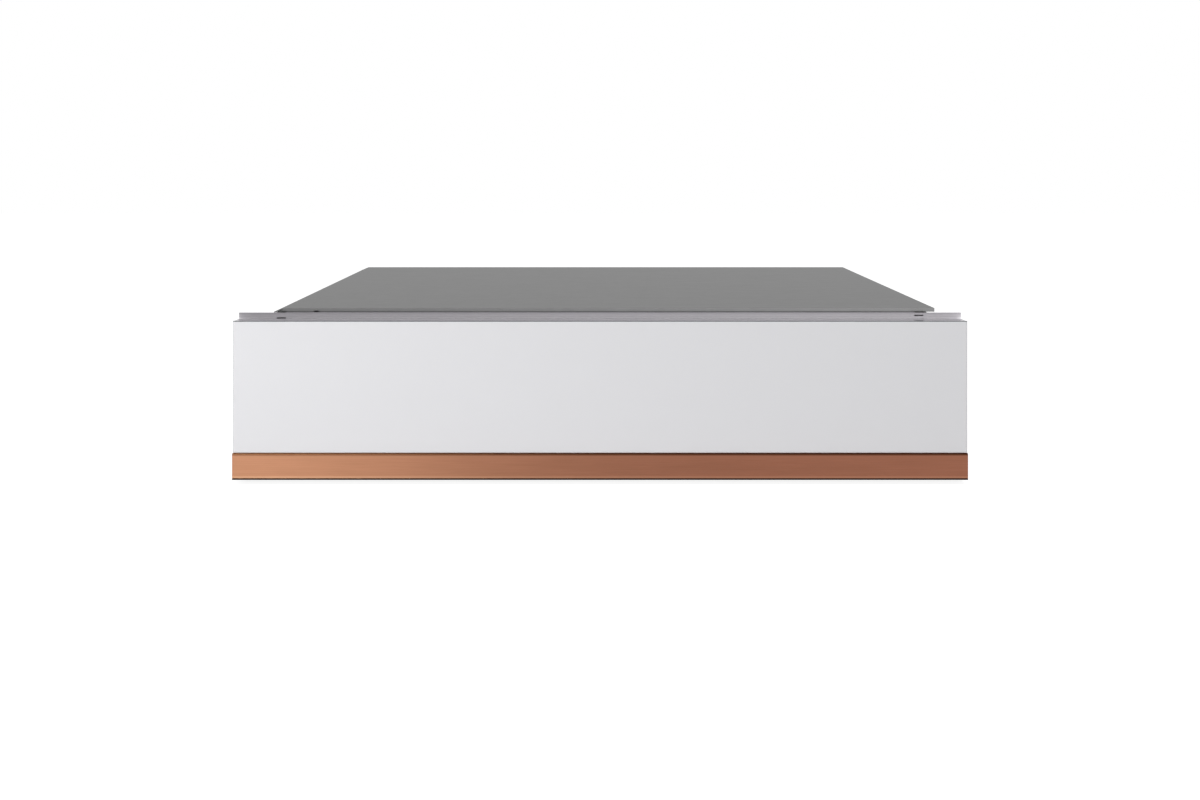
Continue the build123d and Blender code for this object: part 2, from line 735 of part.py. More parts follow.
# Plate that closes the pan and is screwed to the tray
pan_fit = 0.3
plate_low = strip_top + front_sheet + pan_fit
plate_high = pan_top - front_sheet - pan_fit
plate_half = front_width / 2 - 2 * glass_inset - front_sheet - pan_fit
front_rib_spacing = 360.0
front_rib_width = 30.0
front_rib_sheet = 1.5
front_rib_margin = 4.0
rib_height = plate_high - plate_low - 2 * front_rib_margin
with BuildPart() as front_plate:
    with BuildSketch(Plane.XZ.offset(-(y_front_back - front_sheet))):
        with Locations((0, plate_low)):
            Rectangle(2 * plate_half, plate_high - plate_low, align=(Align.CENTER, Align.MIN))
    extrude(amount=-front_sheet)
    # Stiffening ribs reach forward to the pan
    with BuildSketch(Plane.XZ.offset(-(y_front_back - front_sheet))):
        with Locations((0, (plate_low + plate_high) / 2)):
            with GridLocations(front_rib_spacing, 1, 2, 1):
                Rectangle(front_rib_width, rib_height)
                Rectangle(front_rib_width - 2 * front_rib_sheet, rib_height, mode=Mode.SUBTRACT)
    extrude(amount=y_front_back - y_carrier - 2 * front_sheet - pan_fit)
front_plate.part.label = "front_plate"
export_step(front_plate.part, "parts/front_plate.step")

# Upper deck of brushed steel with the opening that the chamber hangs in
with BuildPart() as deck:
    with BuildSketch(Plane.XY.offset(deck_underside)):
        with Locations((0, y_front_back)):
            Rectangle(2 * half_drawer, deck_length, align=(Align.CENTER, Align.MIN))
        with Locations((0, y_chamber_middle)):
            RectangleRounded(
                chamber_width + 2 * (chamber_sheet + deck_opening_gap),
                chamber_length + 2 * (chamber_sheet + deck_opening_gap),
                chamber_corner + chamber_sheet,
                mode=Mode.SUBTRACT,
            )
    extrude(amount=deck_sheet)
deck.part.label = "deck"
export_step(deck.part, "parts/deck.step")

# Deep-drawn vacuum chamber. Its rim lies on the deck, and its floor turns up in a round.
port_from_pump = 40.0
port_x = pump_left + port_from_pump
port_height = 66.0
port_diameter = 10.0
port_fit = 0.1
chamber_top = deck_height + chamber_sheet
with BuildPart() as chamber_space:
    with BuildSketch(Plane.XY.offset(chamber_floor)):
        with Locations((0, y_chamber_middle)):
            RectangleRounded(chamber_width, chamber_length, chamber_corner)
    extrude(amount=chamber_top - chamber_floor)
    fillet(chamber_space.faces().sort_by(Axis.Z)[0].edges(), radius=chamber_floor_radius)

with BuildPart() as chamber:
    with BuildSketch(Plane.XY.offset(chamber_floor - chamber_sheet)):
        with Locations((0, y_chamber_middle)):
            RectangleRounded(
                chamber_width + 2 * chamber_sheet,
                chamber_length + 2 * chamber_sheet,
                chamber_corner + chamber_sheet,
            )
    extrude(amount=chamber_top - chamber_floor + chamber_sheet)
    fillet(chamber.faces().sort_by(Axis.Z)[0].edges(), radius=chamber_floor_radius + chamber_sheet)
    with BuildSketch(Plane.XY.offset(deck_height)):
        with Locations((0, y_chamber_middle)):
            RectangleRounded(
                chamber_width + 2 * chamber_rim,
                chamber_length + 2 * chamber_rim,
                chamber_corner + chamber_rim,
            )
    extrude(amount=chamber_sheet)
    add(chamber_space.part, mode=Mode.SUBTRACT)
    with BuildSketch(Plane.XZ.offset(-(y_chamber_front + chamber_length))):
        with Locations((port_x, port_height)):
            Circle(port_diameter / 2 + port_fit)
    extrude(amount=-chamber_sheet, mode=Mode.SUBTRACT)
chamber.part.label = "chamber"
export_step(chamber.part, "parts/chamber.step")

# Silicone gasket on the chamber's rim: a flat base with a narrow bead that the lid meets
gasket_inset = (chamber_rim - gasket_width) / 2
bead_step = 1.0
bead_inset = gasket_inset + bead_step
bead_width = gasket_width - 2 * bead_step
bead_crown = 1.0
with BuildPart() as lid_gasket:
    for ring_inset, ring_width, ring_height in (
        (gasket_inset, gasket_width, gasket_base),
        (bead_inset, bead_width, gasket_height),
    ):
        with BuildSketch(Plane.XY.offset(chamber_top)):
            with Locations((0, y_chamber_middle)):
                RectangleRounded(
                    chamber_width + 2 * (ring_inset + ring_width),
                    chamber_length + 2 * (ring_inset + ring_width),
                    chamber_corner + ring_inset + ring_width,
                )
                RectangleRounded(
                    chamber_width + 2 * ring_inset,
                    chamber_length + 2 * ring_inset,
                    chamber_corner + ring_inset,
                    mode=Mode.SUBTRACT,
                )
        extrude(amount=ring_height)
    chamfer(lid_gasket.faces().sort_by(Axis.Z)[-1].edges(), length=(bead_width - bead_crown) / 2)
lid_gasket.part.label = "lid_gasket"
export_step(lid_gasket.part, "parts/lid_gasket.step")

# Suction port through the chamber's rear wall: a slotted filter cap inside and a hose
# nipple outside
y_chamber_back = y_chamber_front + chamber_length
nipple_length = 10.0
y_nipple_end = y_chamber_back + nipple_length
cap_height = 5.0
cap_radius = 15.0
cap_bevel = 1.5
cap_slot_depth = 3.0
cap_slot_length = 18.0
cap_slot_width = 2.0
cap_slot_pitch = 4.5
cap_slot_count = 5
nut_radius = 9.0
nut_height = 4.0
y_cap = y_chamber_back - cap_height
with BuildPart() as suction_port:
    with BuildSketch(Plane.XZ.offset(-y_cap)):
        with Locations((port_x, port_height)):
            Circle(cap_radius)
    extrude(amount=-cap_height)
    chamfer(suction_port.faces().sort_by(Axis.Y)[0].edges(), length=cap_bevel)
    with BuildSketch(Plane.XZ.offset(-y_cap)):
        with Locations((port_x, port_height)):
            Circle(port_diameter / 2)
    extrude(amount=-(y_nipple_end - y_cap))
    with BuildSketch(Plane.XZ.offset(-(y_chamber_back + chamber_sheet))):
        with Locations((port_x, port_height)):
            RegularPolygon(radius=nut_radius, side_count=6)
    extrude(amount=-nut_height)
    with BuildSketch(Plane.XZ.offset(-y_cap)):
        with Locations((port_x, port_height)):
            with GridLocations(1, cap_slot_pitch, 1, cap_slot_count):
                Rectangle(cap_slot_length, cap_slot_width)
    extrude(amount=-cap_slot_depth, mode=Mode.SUBTRACT)
suction_port.part.label = "suction_port"
export_step(suction_port.part, "parts/suction_port.step")

# Control strip: a folded base on the deck, the circuit board inside it and black glass on top
panel_window = 0.28 * lid_width
panel_corner = 2.0
panel_bevel = 0.5
y_panel = y_front_back + panel_gap
panel_glass_low = lid_top - panel_thickness
with BuildPart() as control_base:
    with BuildSketch(Plane.YZ.offset(-lid_width / 2)):
        with Locations((y_panel, deck_height)):
            Rectangle(panel_length, panel_glass_low - deck_height, align=(Align.MIN, Align.MIN))
        with Locations((y_panel + deck_sheet, deck_height)):
            Rectangle(
                panel_length - 2 * deck_sheet,
                panel_glass_low - deck_height - deck_sheet,
                align=(Align.MIN, Align.MIN),
                mode=Mode.SUBTRACT,
            )
    extrude(amount=lid_width)
    with BuildSketch(Plane.XY.offset(panel_glass_low)):
        with Locations((0, y_panel + panel_length / 2)):
            Rectangle(2 * panel_window, panel_length / 2)
    extrude(amount=-deck_sheet, mode=Mode.SUBTRACT)
control_base.part.label = "control_base"
export_step(control_base.part, "parts/control_base.step")

with BuildPart() as control_glass:
    with BuildSketch(Plane.XY.offset(panel_glass_low)):
        with Locations((0, y_panel + panel_length / 2)):
            RectangleRounded(lid_width, panel_length, panel_corner)
    extrude(amount=panel_thickness)
    chamfer(control_glass.faces().sort_by(Axis.Z)[-1].edges(), length=panel_bevel)
control_glass.part.label = "control_glass"
export_step(control_glass.part, "parts/control_glass.step")

# The board stands on pillars; touch pads and a display module lie on it under the glass
pillar_height = 1.5
pillar_radius = 2.5
pillar_inset = 6.0
board_gap = 0.3
board_low = deck_height + pillar_height
board_half_width = panel_window - pillar_inset
board_length = 0.7 * panel_length
display_length = 0.4 * panel_length
display_width = 38.0
touch_pad_size = 9.0
touch_pad_pitch = 22.0
touch_pad_centre = 62.0
touch_pad_count = 4
with BuildPart() as control_board:
    with BuildSketch(Plane.XY.offset(board_low)):
        with Locations((0, y_panel + panel_length / 2)):
            Rectangle(2 * board_half_width, board_length)
    extrude(amount=board_thickness)
    with BuildSketch(Plane.XY.offset(deck_height)):
        with Locations((0, y_panel + panel_length / 2)):
            with GridLocations(2 * (board_half_width - pillar_inset), display_length, 2, 2):
                RegularPolygon(radius=pillar_radius, side_count=6)
    extrude(amount=board_low - deck_height)
    with BuildSketch(Plane.XY.offset(board_low + board_thickness)):
        with Locations((0, y_panel + panel_length / 2)):
            Rectangle(display_width, display_length)
            with GridLocations(2 * touch_pad_centre, 1, 2, 1):
                with GridLocations(touch_pad_pitch, 1, touch_pad_count, 1):
                    Rectangle(touch_pad_size, touch_pad_size)
    extrude(amount=panel_glass_low - deck_sheet - board_low - board_thickness - board_gap)
control_board.part.label = "control_board"
export_step(control_board.part, "parts/control_board.step")

# Hinge brackets on the deck: a foot and two ears a side
ear_offset = hinge_knuckle_width / 2 + hinge_ear_gap + hinge_ear / 2
knuckle_radius = hinge_pin_diameter / 2 + hinge_knuckle_wall
foot_sheet = 2.0
foot_wing = 11.0
foot_margin = 2.0
foot_hole_reach = 6.0
foot_hole_radius = 2.0
pin_overhang = 1.0
pin_head = 1.5
pin_head_reach = 1.6
with BuildPart() as hinge_brackets:
    for side in sides.values():
        x_hinge = side * hinge_spacing / 2
        with BuildSketch(Plane.XY.offset(deck_height)):
            with Locations((x_hinge, y_hinge)):
                Rectangle(2 * (ear_offset + foot_wing), 2 * (knuckle_radius + foot_margin))
                with GridLocations(2 * (ear_offset + foot_hole_reach), 1, 2, 1):
                    Circle(foot_hole_radius, mode=Mode.SUBTRACT)
        extrude(amount=foot_sheet)
        for ear_side in (-1, 1):
            with BuildSketch(Plane.YZ.offset(x_hinge + ear_side * ear_offset - hinge_ear / 2)):
                with Locations((y_hinge, z_hinge)):
                    Circle(knuckle_radius)
                with Locations((y_hinge, deck_height)):
                    Rectangle(2 * knuckle_radius, z_hinge - deck_height, align=(Align.CENTER, Align.MIN))
                with Locations((y_hinge, z_hinge)):
                    Circle(hinge_pin_diameter / 2 + hinge_pin_fit, mode=Mode.SUBTRACT)
            extrude(amount=hinge_ear)
hinge_brackets.part.label = "hinge_brackets"
export_step(hinge_brackets.part, "parts/hinge_brackets.step")

with BuildPart() as hinge_pins:
    for side in sides.values():
        x_pin = side * hinge_spacing / 2 - ear_offset - hinge_ear / 2 - pin_overhang
        with BuildSketch(Plane.YZ.offset(x_pin)):
            with Locations((y_hinge, z_hinge)):
                Circle(hinge_pin_diameter / 2)
        extrude(amount=2 * (ear_offset + pin_overhang) + hinge_ear)
        with BuildSketch(Plane.YZ.offset(x_pin - pin_head)):
            with Locations((y_hinge, z_hinge)):
                Circle(hinge_pin_diameter / 2 + pin_head_reach)
        extrude(amount=pin_head)
hinge_pins.part.label = "hinge_pins"
export_step(hinge_pins.part, "parts/hinge_pins.step")

# Lid clamps: a fork over the glass's rear edge with the knuckle behind it
for side_name, side in sides.items():
    with BuildPart() as lid_clamp:
        with BuildSketch(Plane.YZ.offset(side * hinge_spacing / 2 - hinge_knuckle_width / 2)):
            with Locations((y_hinge, z_hinge)):
                Circle(knuckle_radius)
            with Locations((y_lid_back - hinge_clamp_reach, lid_underside - hinge_clamp_sheet)):
                Rectangle(
                    hinge_clamp_reach + hinge_behind_lid,
                    lid_thickness + 2 * hinge_clamp_sheet,
                    align=(Align.MIN, Align.MIN),
                )
            with Locations((y_lid_back - hinge_clamp_reach, lid_underside)):
                Rectangle(hinge_clamp_reach, lid_thickness, align=(Align.MIN, Align.MIN), mode=Mode.SUBTRACT)
            with Locations((y_hinge, z_hinge)):
                Circle(hinge_pin_diameter / 2 + hinge_pin_fit, mode=Mode.SUBTRACT)
        extrude(amount=hinge_knuckle_width)
    lid_clamp.part.label = f"lid_clamp_{side_name}"
    export_step(lid_clamp.part, f"parts/lid_clamp_{side_name}.step")

# Glass lid with a ground finger bevel along its front edge
lid_bevel = 0.8
finger_bevel_length = 0.6 * lid_width
finger_bevel_run = 6.0
with BuildPart() as lid_glass:
    with BuildSketch(Plane.XY.offset(lid_underside)):
        with Locations((0, (y_lid_front + y_lid_back) / 2)):
            RectangleRounded(lid_width, lid_length, lid_corner)
    extrude(amount=lid_thickness)
    chamfer(lid_glass.faces().sort_by(Axis.Z)[-1].edges(), length=lid_bevel)
    with BuildSketch(Plane.YZ.offset(-finger_bevel_length / 2)):
        with BuildLine():
            Polyline(
                (y_lid_front, lid_underside),
                (y_lid_front + finger_bevel_run, lid_underside),
                (y_lid_front, lid_underside + lid_thickness / 2),
                close=True,
            )
        make_face()
    extrude(amount=finger_bevel_length, mode=Mode.SUBTRACT)
lid_glass.part.label = "lid_glass"
export_step(lid_glass.part, "parts/lid_glass.step")

# Counter bar under the lid: a metal holder and the silicone strip in it
counter_margin = 2.0
counter_corner = 3.0
counter_groove = 0.5
counter_groove_pitch = 3.0
counter_width = bar_width - counter_margin
with BuildPart() as counter_holder:
    with BuildSketch(Plane.XY.offset(lid_underside)):
        with Locations((0, y_bar)):
            RectangleRounded(bar_length, counter_width, counter_corner)
    extrude(amount=-counter_holder_thickness)
counter_holder.part.label = "counter_holder"
export_step(counter_holder.part, "parts/counter_holder.step")

with BuildPart() as counter_bar:
    with BuildSketch(Plane.YZ.offset(-bar_length / 2 + counter_margin)):
        with Locations((y_bar, counter_bar_underside)):
            Rectangle(
                counter_width - 2 * counter_margin, counter_bar_thickness, align=(Align.CENTER, Align.MIN)
            )
            with GridLocations(counter_groove_pitch, 1, 3, 1):
                Rectangle(counter_groove, counter_groove, rotation=45, mode=Mode.SUBTRACT)
    extrude(amount=bar_length - 2 * counter_margin)
counter_bar.part.label = "counter_bar"
export_step(counter_bar.part, "parts/counter_bar.step")

# Sealing bar: an extruded holder with grooves in its sides and its foot, on two pistons
side_groove_depth = 2.5
side_groove_height = 6.0
foot_groove_width = 6.0
foot_groove_depth = 7.0
piston_boss_wall = 2.0
piston_boss_height = 8.0
piston_low = chamber_floor + 6.0
with BuildPart() as sealing_bar:
    with BuildSketch(Plane.YZ.offset(-bar_length / 2)):
        with Locations((y_bar, bar_underside)):
            Rectangle(bar_width, bar_height, align=(Align.CENTER, Align.MIN))
        with Locations((y_bar, bar_underside + bar_height / 2)):
            with GridLocations(bar_width, 1, 2, 1):
                Rectangle(2 * side_groove_depth, side_groove_height, mode=Mode.SUBTRACT)
        with Locations((y_bar, bar_underside)):
            Rectangle(
                foot_groove_width, foot_groove_depth, align=(Align.CENTER, Align.MIN), mode=Mode.SUBTRACT
            )
    extrude(amount=bar_length)
    with BuildSketch(Plane.XY.offset(bar_underside)):
        with Locations((0, y_bar)):
            with GridLocations(piston_spacing, 1, 2, 1):
                Circle(piston_diameter / 2 + piston_boss_wall)
    extrude(amount=piston_boss_height)
    with BuildSketch(Plane.XY.offset(piston_low)):
        with Locations((0, y_bar)):
            with GridLocations(piston_spacing, 1, 2, 1):
                Circle(piston_diameter / 2)
    extrude(amount=bar_underside + piston_boss_wall - piston_low)
sealing_bar.part.label = "sealing_bar"
export_step(sealing_bar.part, "parts/sealing_bar.step")

with BuildPart() as heating_strip:
    with BuildSketch(Plane.XY.offset(bar_top)):
        with Locations((0, y_bar)):
            Rectangle(bar_length - 2 * heat_strip_inset, heat_strip_width)
    extrude(amount=heat_strip_thickness)
heating_strip.part.label = "heating_strip"
export_step(heating_strip.part, "parts/heating_strip.step")

# Lift cylinders on the chamber's floor, bored for the pistons
cylinder_foot = 3.0
cylinder_bevel = 1.0
cylinder_bottom = 5.0
with BuildPart() as lift_cylinders:
    with BuildSketch(Plane.XY.offset(chamber_floor)):
        with Locations((0, y_bar)):
            with GridLocations(piston_spacing, 1, 2, 1):
                Circle(cylinder_diameter / 2 + cylinder_foot)
    extrude(amount=cylinder_foot)
    with BuildSketch(Plane.XY.offset(chamber_floor)):
        with Locations((0, y_bar)):
            with GridLocations(piston_spacing, 1, 2, 1):
                Circle(cylinder_diameter / 2)
    extrude(amount=cylinder_height)
    chamfer(lift_cylinders.faces().sort_by(Axis.Z)[-2:].edges(), length=cylinder_bevel)
    with BuildSketch(Plane.XY.offset(chamber_floor + cylinder_bottom)):
        with Locations((0, y_bar)):
            with GridLocations(piston_spacing, 1, 2, 1):
                Circle(piston_diameter / 2 + piston_fit)
    extrude(amount=cylinder_height, mode=Mode.SUBTRACT)
lift_cylinders.part.label = "lift_cylinders"
export_step(lift_cylinders.part, "parts/lift_cylinders.step")

# Vented cover over the pump set, standing on the tray's walls behind the hinge
cover_vent_spacing = 240.0
cover_vent_length = 60.0
with BuildPart() as rear_cover:
    with BuildSketch(Plane.XY.offset(deck_underside)):
        with Locations((0, y_deck_back)):
            Rectangle(2 * half_drawer, y_tray_back - y_deck_back, align=(Align.CENTER, Align.MIN))
    extrude(amount=rear_cover_height - deck_underside)
    offset(amount=-deck_sheet, openings=rear_cover.faces().sort_by(Axis.Z)[0])
    chamfer(rear_cover.faces().sort_by(Axis.Z)[-1].edges(), length=deck_sheet / 2)
    with BuildSketch(Plane.XY.offset(rear_cover_height)):
        with Locations((0, (y_deck_back + y_tray_back) / 2)):
            with GridLocations(cover_vent_spacing, 1, 2, 1):
                with GridLocations(vent_slot_pitch, 1, vent_slot_count, 1):
                    Rectangle(vent_slot_width, cover_vent_length)
    extrude(amount=-deck_sheet, mode=Mode.SUBTRACT)
rear_cover.part.label = "rear_cover"
export_step(rear_cover.part, "parts/rear_cover.step")

# Vacuum pump: a finned block with a bolted end cover, on two feet
mount_top = tray_floor + mount_height
pump_half = pump_size / 2
pump_corner = 12.0
groove_pitch = 9.0
groove_count = 6
groove_width = 4.0
groove_depth = 5.0
groove_length = pump_size - 2 * pump_corner
end_cover_thickness = 5.0
end_cover_inset = 8.0
bolt_circle_inset = 14.0
bolt_radius = 4.0
bolt_height = 3.0
foot_inset = 5.0
foot_overlap = 4.0
foot_thickness = pump_axis_height - pump_half - mount_top + foot_overlap
with BuildPart() as vacuum_pump:
    with BuildSketch(Plane.YZ.offset(pump_left)):
        with Locations((y_pump, pump_axis_height)):
            RectangleRounded(pump_size, pump_size, pump_corner)
    extrude(amount=pump_length)
    # Cooling grooves before and behind the block leave fins between them
    for groove_side in (-1, 1):
        with BuildSketch(Plane.XZ.offset(-(y_pump + groove_side * pump_half))):
            with Locations((pump_left + pump_length / 2, pump_axis_height)):
                with GridLocations(groove_pitch, 1, groove_count, 1):
                    Rectangle(groove_width, groove_length)
        extrude(amount=groove_side * groove_depth, mode=Mode.SUBTRACT)
    # End cover with its bolts
    with BuildSketch(Plane.YZ.offset(pump_left)):
        with Locations((y_pump, pump_axis_height)):
            Circle(pump_half - end_cover_inset)
    extrude(amount=-end_cover_thickness)
    with BuildSketch(Plane.YZ.offset(pump_left - end_cover_thickness)):
        with Locations((y_pump, pump_axis_height)):
            with PolarLocations(pump_half - bolt_circle_inset, 6):
                RegularPolygon(radius=bolt_radius, side_count=6)
    extrude(amount=-bolt_height)
    with BuildSketch(Plane.XY.offset(mount_top)):
        with Locations((pump_left + pump_length / 2, y_pump)):
            Rectangle(pump_length - 2 * foot_inset, pump_size - foot_inset)
    extrude(amount=foot_thickness)
vacuum_pump.part.label = "vacuum_pump"
export_step(vacuum_pump.part, "parts/vacuum_pump.step")

# Motor: finned housing between two end bells, with the connection box on top
motor_radius = motor_diameter / 2
motor_fin_height = 5.0
motor_fin_length = 12.0
motor_fin_width = 3.0
bell_thickness = 9.0
bell_radius = motor_radius - 1.0
box_length = 46.0
box_width = 32.0
box_corner = 3.0
box_height = 20.0
box_overlap = 10.0
motor_foot_inset = 25.0
motor_foot_width = 64.0
motor_foot_thickness = 8.0
shaft_bore_depth = 12.0
with BuildPart() as pump_motor:
    with BuildSketch(Plane.YZ.offset(x_motor)):
        with Locations((y_pump, pump_axis_height)):
            Circle(motor_radius - motor_fin_height)
            with PolarLocations(motor_radius - motor_fin_length / 2, motor_fins):
                Rectangle(motor_fin_length, motor_fin_width)
    extrude(amount=motor_length)
    for x_bell in (x_motor, x_cowl - bell_thickness):
        with BuildSketch(Plane.YZ.offset(x_bell)):
            with Locations((y_pump, pump_axis_height)):
                Circle(bell_radius)
        extrude(amount=bell_thickness)
    with BuildSketch(Plane.XY.offset(pump_axis_height + motor_radius - box_overlap)):
        with Locations((x_motor + motor_length / 2, y_pump)):
            RectangleRounded(box_length, box_width, box_corner)
    extrude(amount=box_height)
    with BuildSketch(Plane.XY.offset(mount_top)):
        with Locations((x_motor + motor_length / 2, y_pump)):
            Rectangle(motor_length - 2 * motor_foot_inset, motor_foot_width)
    extrude(amount=motor_foot_thickness)
    with BuildSketch(Plane.YZ.offset(x_cowl)):
        with Locations((y_pump, pump_axis_height)):
            Circle(shaft_diameter / 2 + shaft_fit)
    extrude(amount=-shaft_bore_depth, mode=Mode.SUBTRACT)
pump_motor.part.label = "pump_motor"
export_step(pump_motor.part, "parts/pump_motor.step")

# Eight-sided rubber mounts under the pump and the motor
mount_radius = 7.0
mount_bevel = 1.5
with BuildPart() as pump_mounts:
    for x_mount in (pump_left + pump_length / 2, x_motor + motor_length / 2):
        with BuildSketch(Plane.XY.offset(tray_floor)):
            with Locations((x_mount, y_pump)):
                with GridLocations(mount_pitch_x, mount_pitch_y, 2, 2):
                    RegularPolygon(radius=mount_radius, side_count=8)
        extrude(amount=mount_height)
    mount_tops = pump_mounts.faces().sort_by(Axis.Z)[-8:]
    chamfer(mount_tops.edges(), length=mount_bevel)
pump_mounts.part.label = "pump_mounts"
export_step(pump_mounts.part, "parts/pump_mounts.step")

# Motor shaft end with its cooling fan, turning inside the cowl
fan_disc = 3.0
shaft_seat = 10.0
disc_inset = 4.0
disc_gap = 3.0
motor_hub_radius = 10.0
motor_blade_width = 2.0
motor_blade_height = 18.0
with BuildPart() as motor_fan:
    with BuildSketch(Plane.YZ.offset(x_cowl - shaft_seat)):
        with Locations((y_pump, pump_axis_height)):
            Circle(shaft_diameter / 2)
    extrude(amount=x_shaft_end - x_cowl + shaft_seat)
    with BuildSketch(Plane.YZ.offset(x_cowl + disc_gap)):
        with Locations((y_pump, pump_axis_height)):
            Circle(motor_fan_diameter / 2 - disc_inset)
    extrude(amount=fan_disc)
    with BuildSketch(Plane.YZ.offset(x_cowl + disc_gap)):
        with Locations((y_pump, pump_axis_height)):
            Circle(motor_hub_radius)
            with PolarLocations(motor_fan_diameter / 4, motor_fan_blades):
                Rectangle(motor_fan_diameter / 2, motor_blade_width)
    extrude(amount=motor_blade_height)
motor_fan.part.label = "motor_fan"
export_step(motor_fan.part, "parts/motor_fan.step")

# Cowl over the motor's fan, with its air slots in the end face
cowl_sheet = 1.2
cowl_bevel = 5.0
cowl_slot_count = 10
cowl_slot_circle = 20.0
cowl_slot_length = 20.0
cowl_slot_width = 4.0
with BuildPart() as motor_cowl:
    with BuildSketch(Plane.YZ.offset(x_cowl)):
        with Locations((y_pump, pump_axis_height)):
            Circle(bell_radius)
    extrude(amount=cowl_length)
    chamfer(motor_cowl.faces().sort_by(Axis.X)[-1].edges(), length=cowl_bevel)
    offset(amount=-cowl_sheet, openings=motor_cowl.faces().sort_by(Axis.X)[0])
    with BuildSketch(Plane.YZ.offset(x_cowl + cowl_length)):
        with Locations((y_pump, pump_axis_height)):
            with PolarLocations(cowl_slot_circle, cowl_slot_count):
                Rectangle(cowl_slot_length, cowl_slot_width)
    extrude(amount=-cowl_sheet, mode=Mode.SUBTRACT)
motor_cowl.part.label = "motor_cowl"
export_step(motor_cowl.part, "parts/motor_cowl.step")

# Oil mist filter: a canister with a sloping shoulder and a hexagon cap, its foot on the tray
filter_from_pump = 60.0
filter_shoulder = 8.0
filter_band_drop = 22.0
filter_band_width = 5.0
filter_band_proud = 2.0
filter_cap_radius = 12.0
filter_cap_height = 7.0
filter_foot_reach = 12.0
filter_foot_width = 18.0
filter_foot_sheet = 2.0
x_filter = pump_left - filter_from_pump
with BuildPart() as mist_filter:
    with BuildSketch(Plane.XY.offset(tray_floor)):
        with Locations((x_filter, y_pump)):
            Circle(filter_diameter / 2)
    extrude(amount=filter_height)
    chamfer(mist_filter.faces().sort_by(Axis.Z)[-1].edges(), length=filter_shoulder)
    with BuildSketch(Plane.XY.offset(tray_floor + filter_height - filter_band_drop)):
        with Locations((x_filter, y_pump)):
            Circle(filter_diameter / 2 + filter_band_proud)
    extrude(amount=filter_band_width)
    with BuildSketch(Plane.XY.offset(tray_floor + filter_height)):
        with Locations((x_filter, y_pump)):
            RegularPolygon(radius=filter_cap_radius, side_count=6)
    extrude(amount=filter_cap_height)
    with BuildSketch(Plane.XY.offset(tray_floor)):
        with Locations((x_filter, y_pump)):
            Rectangle(filter_diameter + 2 * filter_foot_reach, filter_foot_width)
    extrude(amount=filter_foot_sheet)
mist_filter.part.label = "mist_filter"
export_step(mist_filter.part, "parts/mist_filter.step")

# Valve block with its two solenoid coils
block_from_pump = 40.0
block_from_chamber = 34.0
block_bevel = 2.0
coil_size = 22.0
coil_corner = 4.0
coil_stud_radius = 5.0
coil_stud_height = 5.0
block_left = pump_left - block_from_pump
block_length = 60.0
block_depth = 24.0
block_height = 34.0
y_block = y_chamber_back + block_from_chamber
coil_height = 30.0
with BuildPart() as valve_block:
    with BuildSketch(Plane.XY.offset(tray_floor)):
        with Locations((block_left + block_length / 2, y_block)):
            Rectangle(block_length, block_depth)
    extrude(amount=block_height)
    chamfer(valve_block.edges().filter_by(Axis.Z), length=block_bevel)
    with BuildSketch(Plane.XY.offset(tray_floor + block_height)):
        with Locations((block_left + block_length / 2, y_block)):
            with GridLocations(block_length / 2, 1, 2, 1):
                RectangleRounded(coil_size, coil_size, coil_corner)
    extrude(amount=coil_height)
    with BuildSketch(Plane.XY.offset(tray_floor + block_height + coil_height)):
        with Locations((block_left + block_length / 2, y_block)):
            with GridLocations(block_length / 2, 1, 2, 1):
                Circle(coil_stud_radius)
    extrude(amount=coil_stud_height)
valve_block.part.label = "valve_block"
export_step(valve_block.part, "parts/valve_block.step")

# Metal pipes: chamber to valves, valves to pump, and pump to filter
pipe_level = tray_floor + 0.6 * block_height
pipe_entry = 22.0
pipe_setback = 20.0
exhaust_rise = 37.0
exhaust_gap = 8.0
exhaust_bend = 3.5
pipe_sides = 12
x_pump_pipe = block_left + pipe_entry
x_exhaust = x_filter + filter_diameter / 2 + exhaust_gap
suction_route = [
    (port_x, y_nipple_end, port_height),
    (port_x, y_block, port_height),
    (port_x, y_block, pipe_level),
    (block_left + block_length, y_block, pipe_level),
]
pump_route = [
    (x_pump_pipe, y_block + block_depth / 2, pipe_level),
    (x_pump_pipe, y_pump - pipe_setback, pipe_level),
    (pump_left, y_pump - pipe_setback, pipe_level),
]
exhaust_route = [
    (pump_left, y_pump, pump_axis_height + exhaust_rise),
    (x_exhaust, y_pump, pump_axis_height + exhaust_rise),
    (x_exhaust, y_pump, pump_axis_height),
    (x_exhaust - exhaust_gap, y_pump, pump_axis_height),
]
for pipe_name, route, bend in (
    ("suction_pipe", suction_route, pipe_bend),
    ("pump_pipe", pump_route, pipe_bend),
    ("exhaust_pipe", exhaust_route, exhaust_bend),
):
    with BuildPart() as pipe:
        with BuildLine() as pipe_line:
            FilletPolyline(*route, radius=bend)
        with BuildSketch(Plane(origin=pipe_line.line @ 0, z_dir=pipe_line.line % 0)):
            RegularPolygon(radius=pipe_diameter / 2, side_count=pipe_sides)
        sweep(path=pipe_line.line)
    pipe.part.label = pipe_name
    export_step(pipe.part, f"parts/{pipe_name}.step")

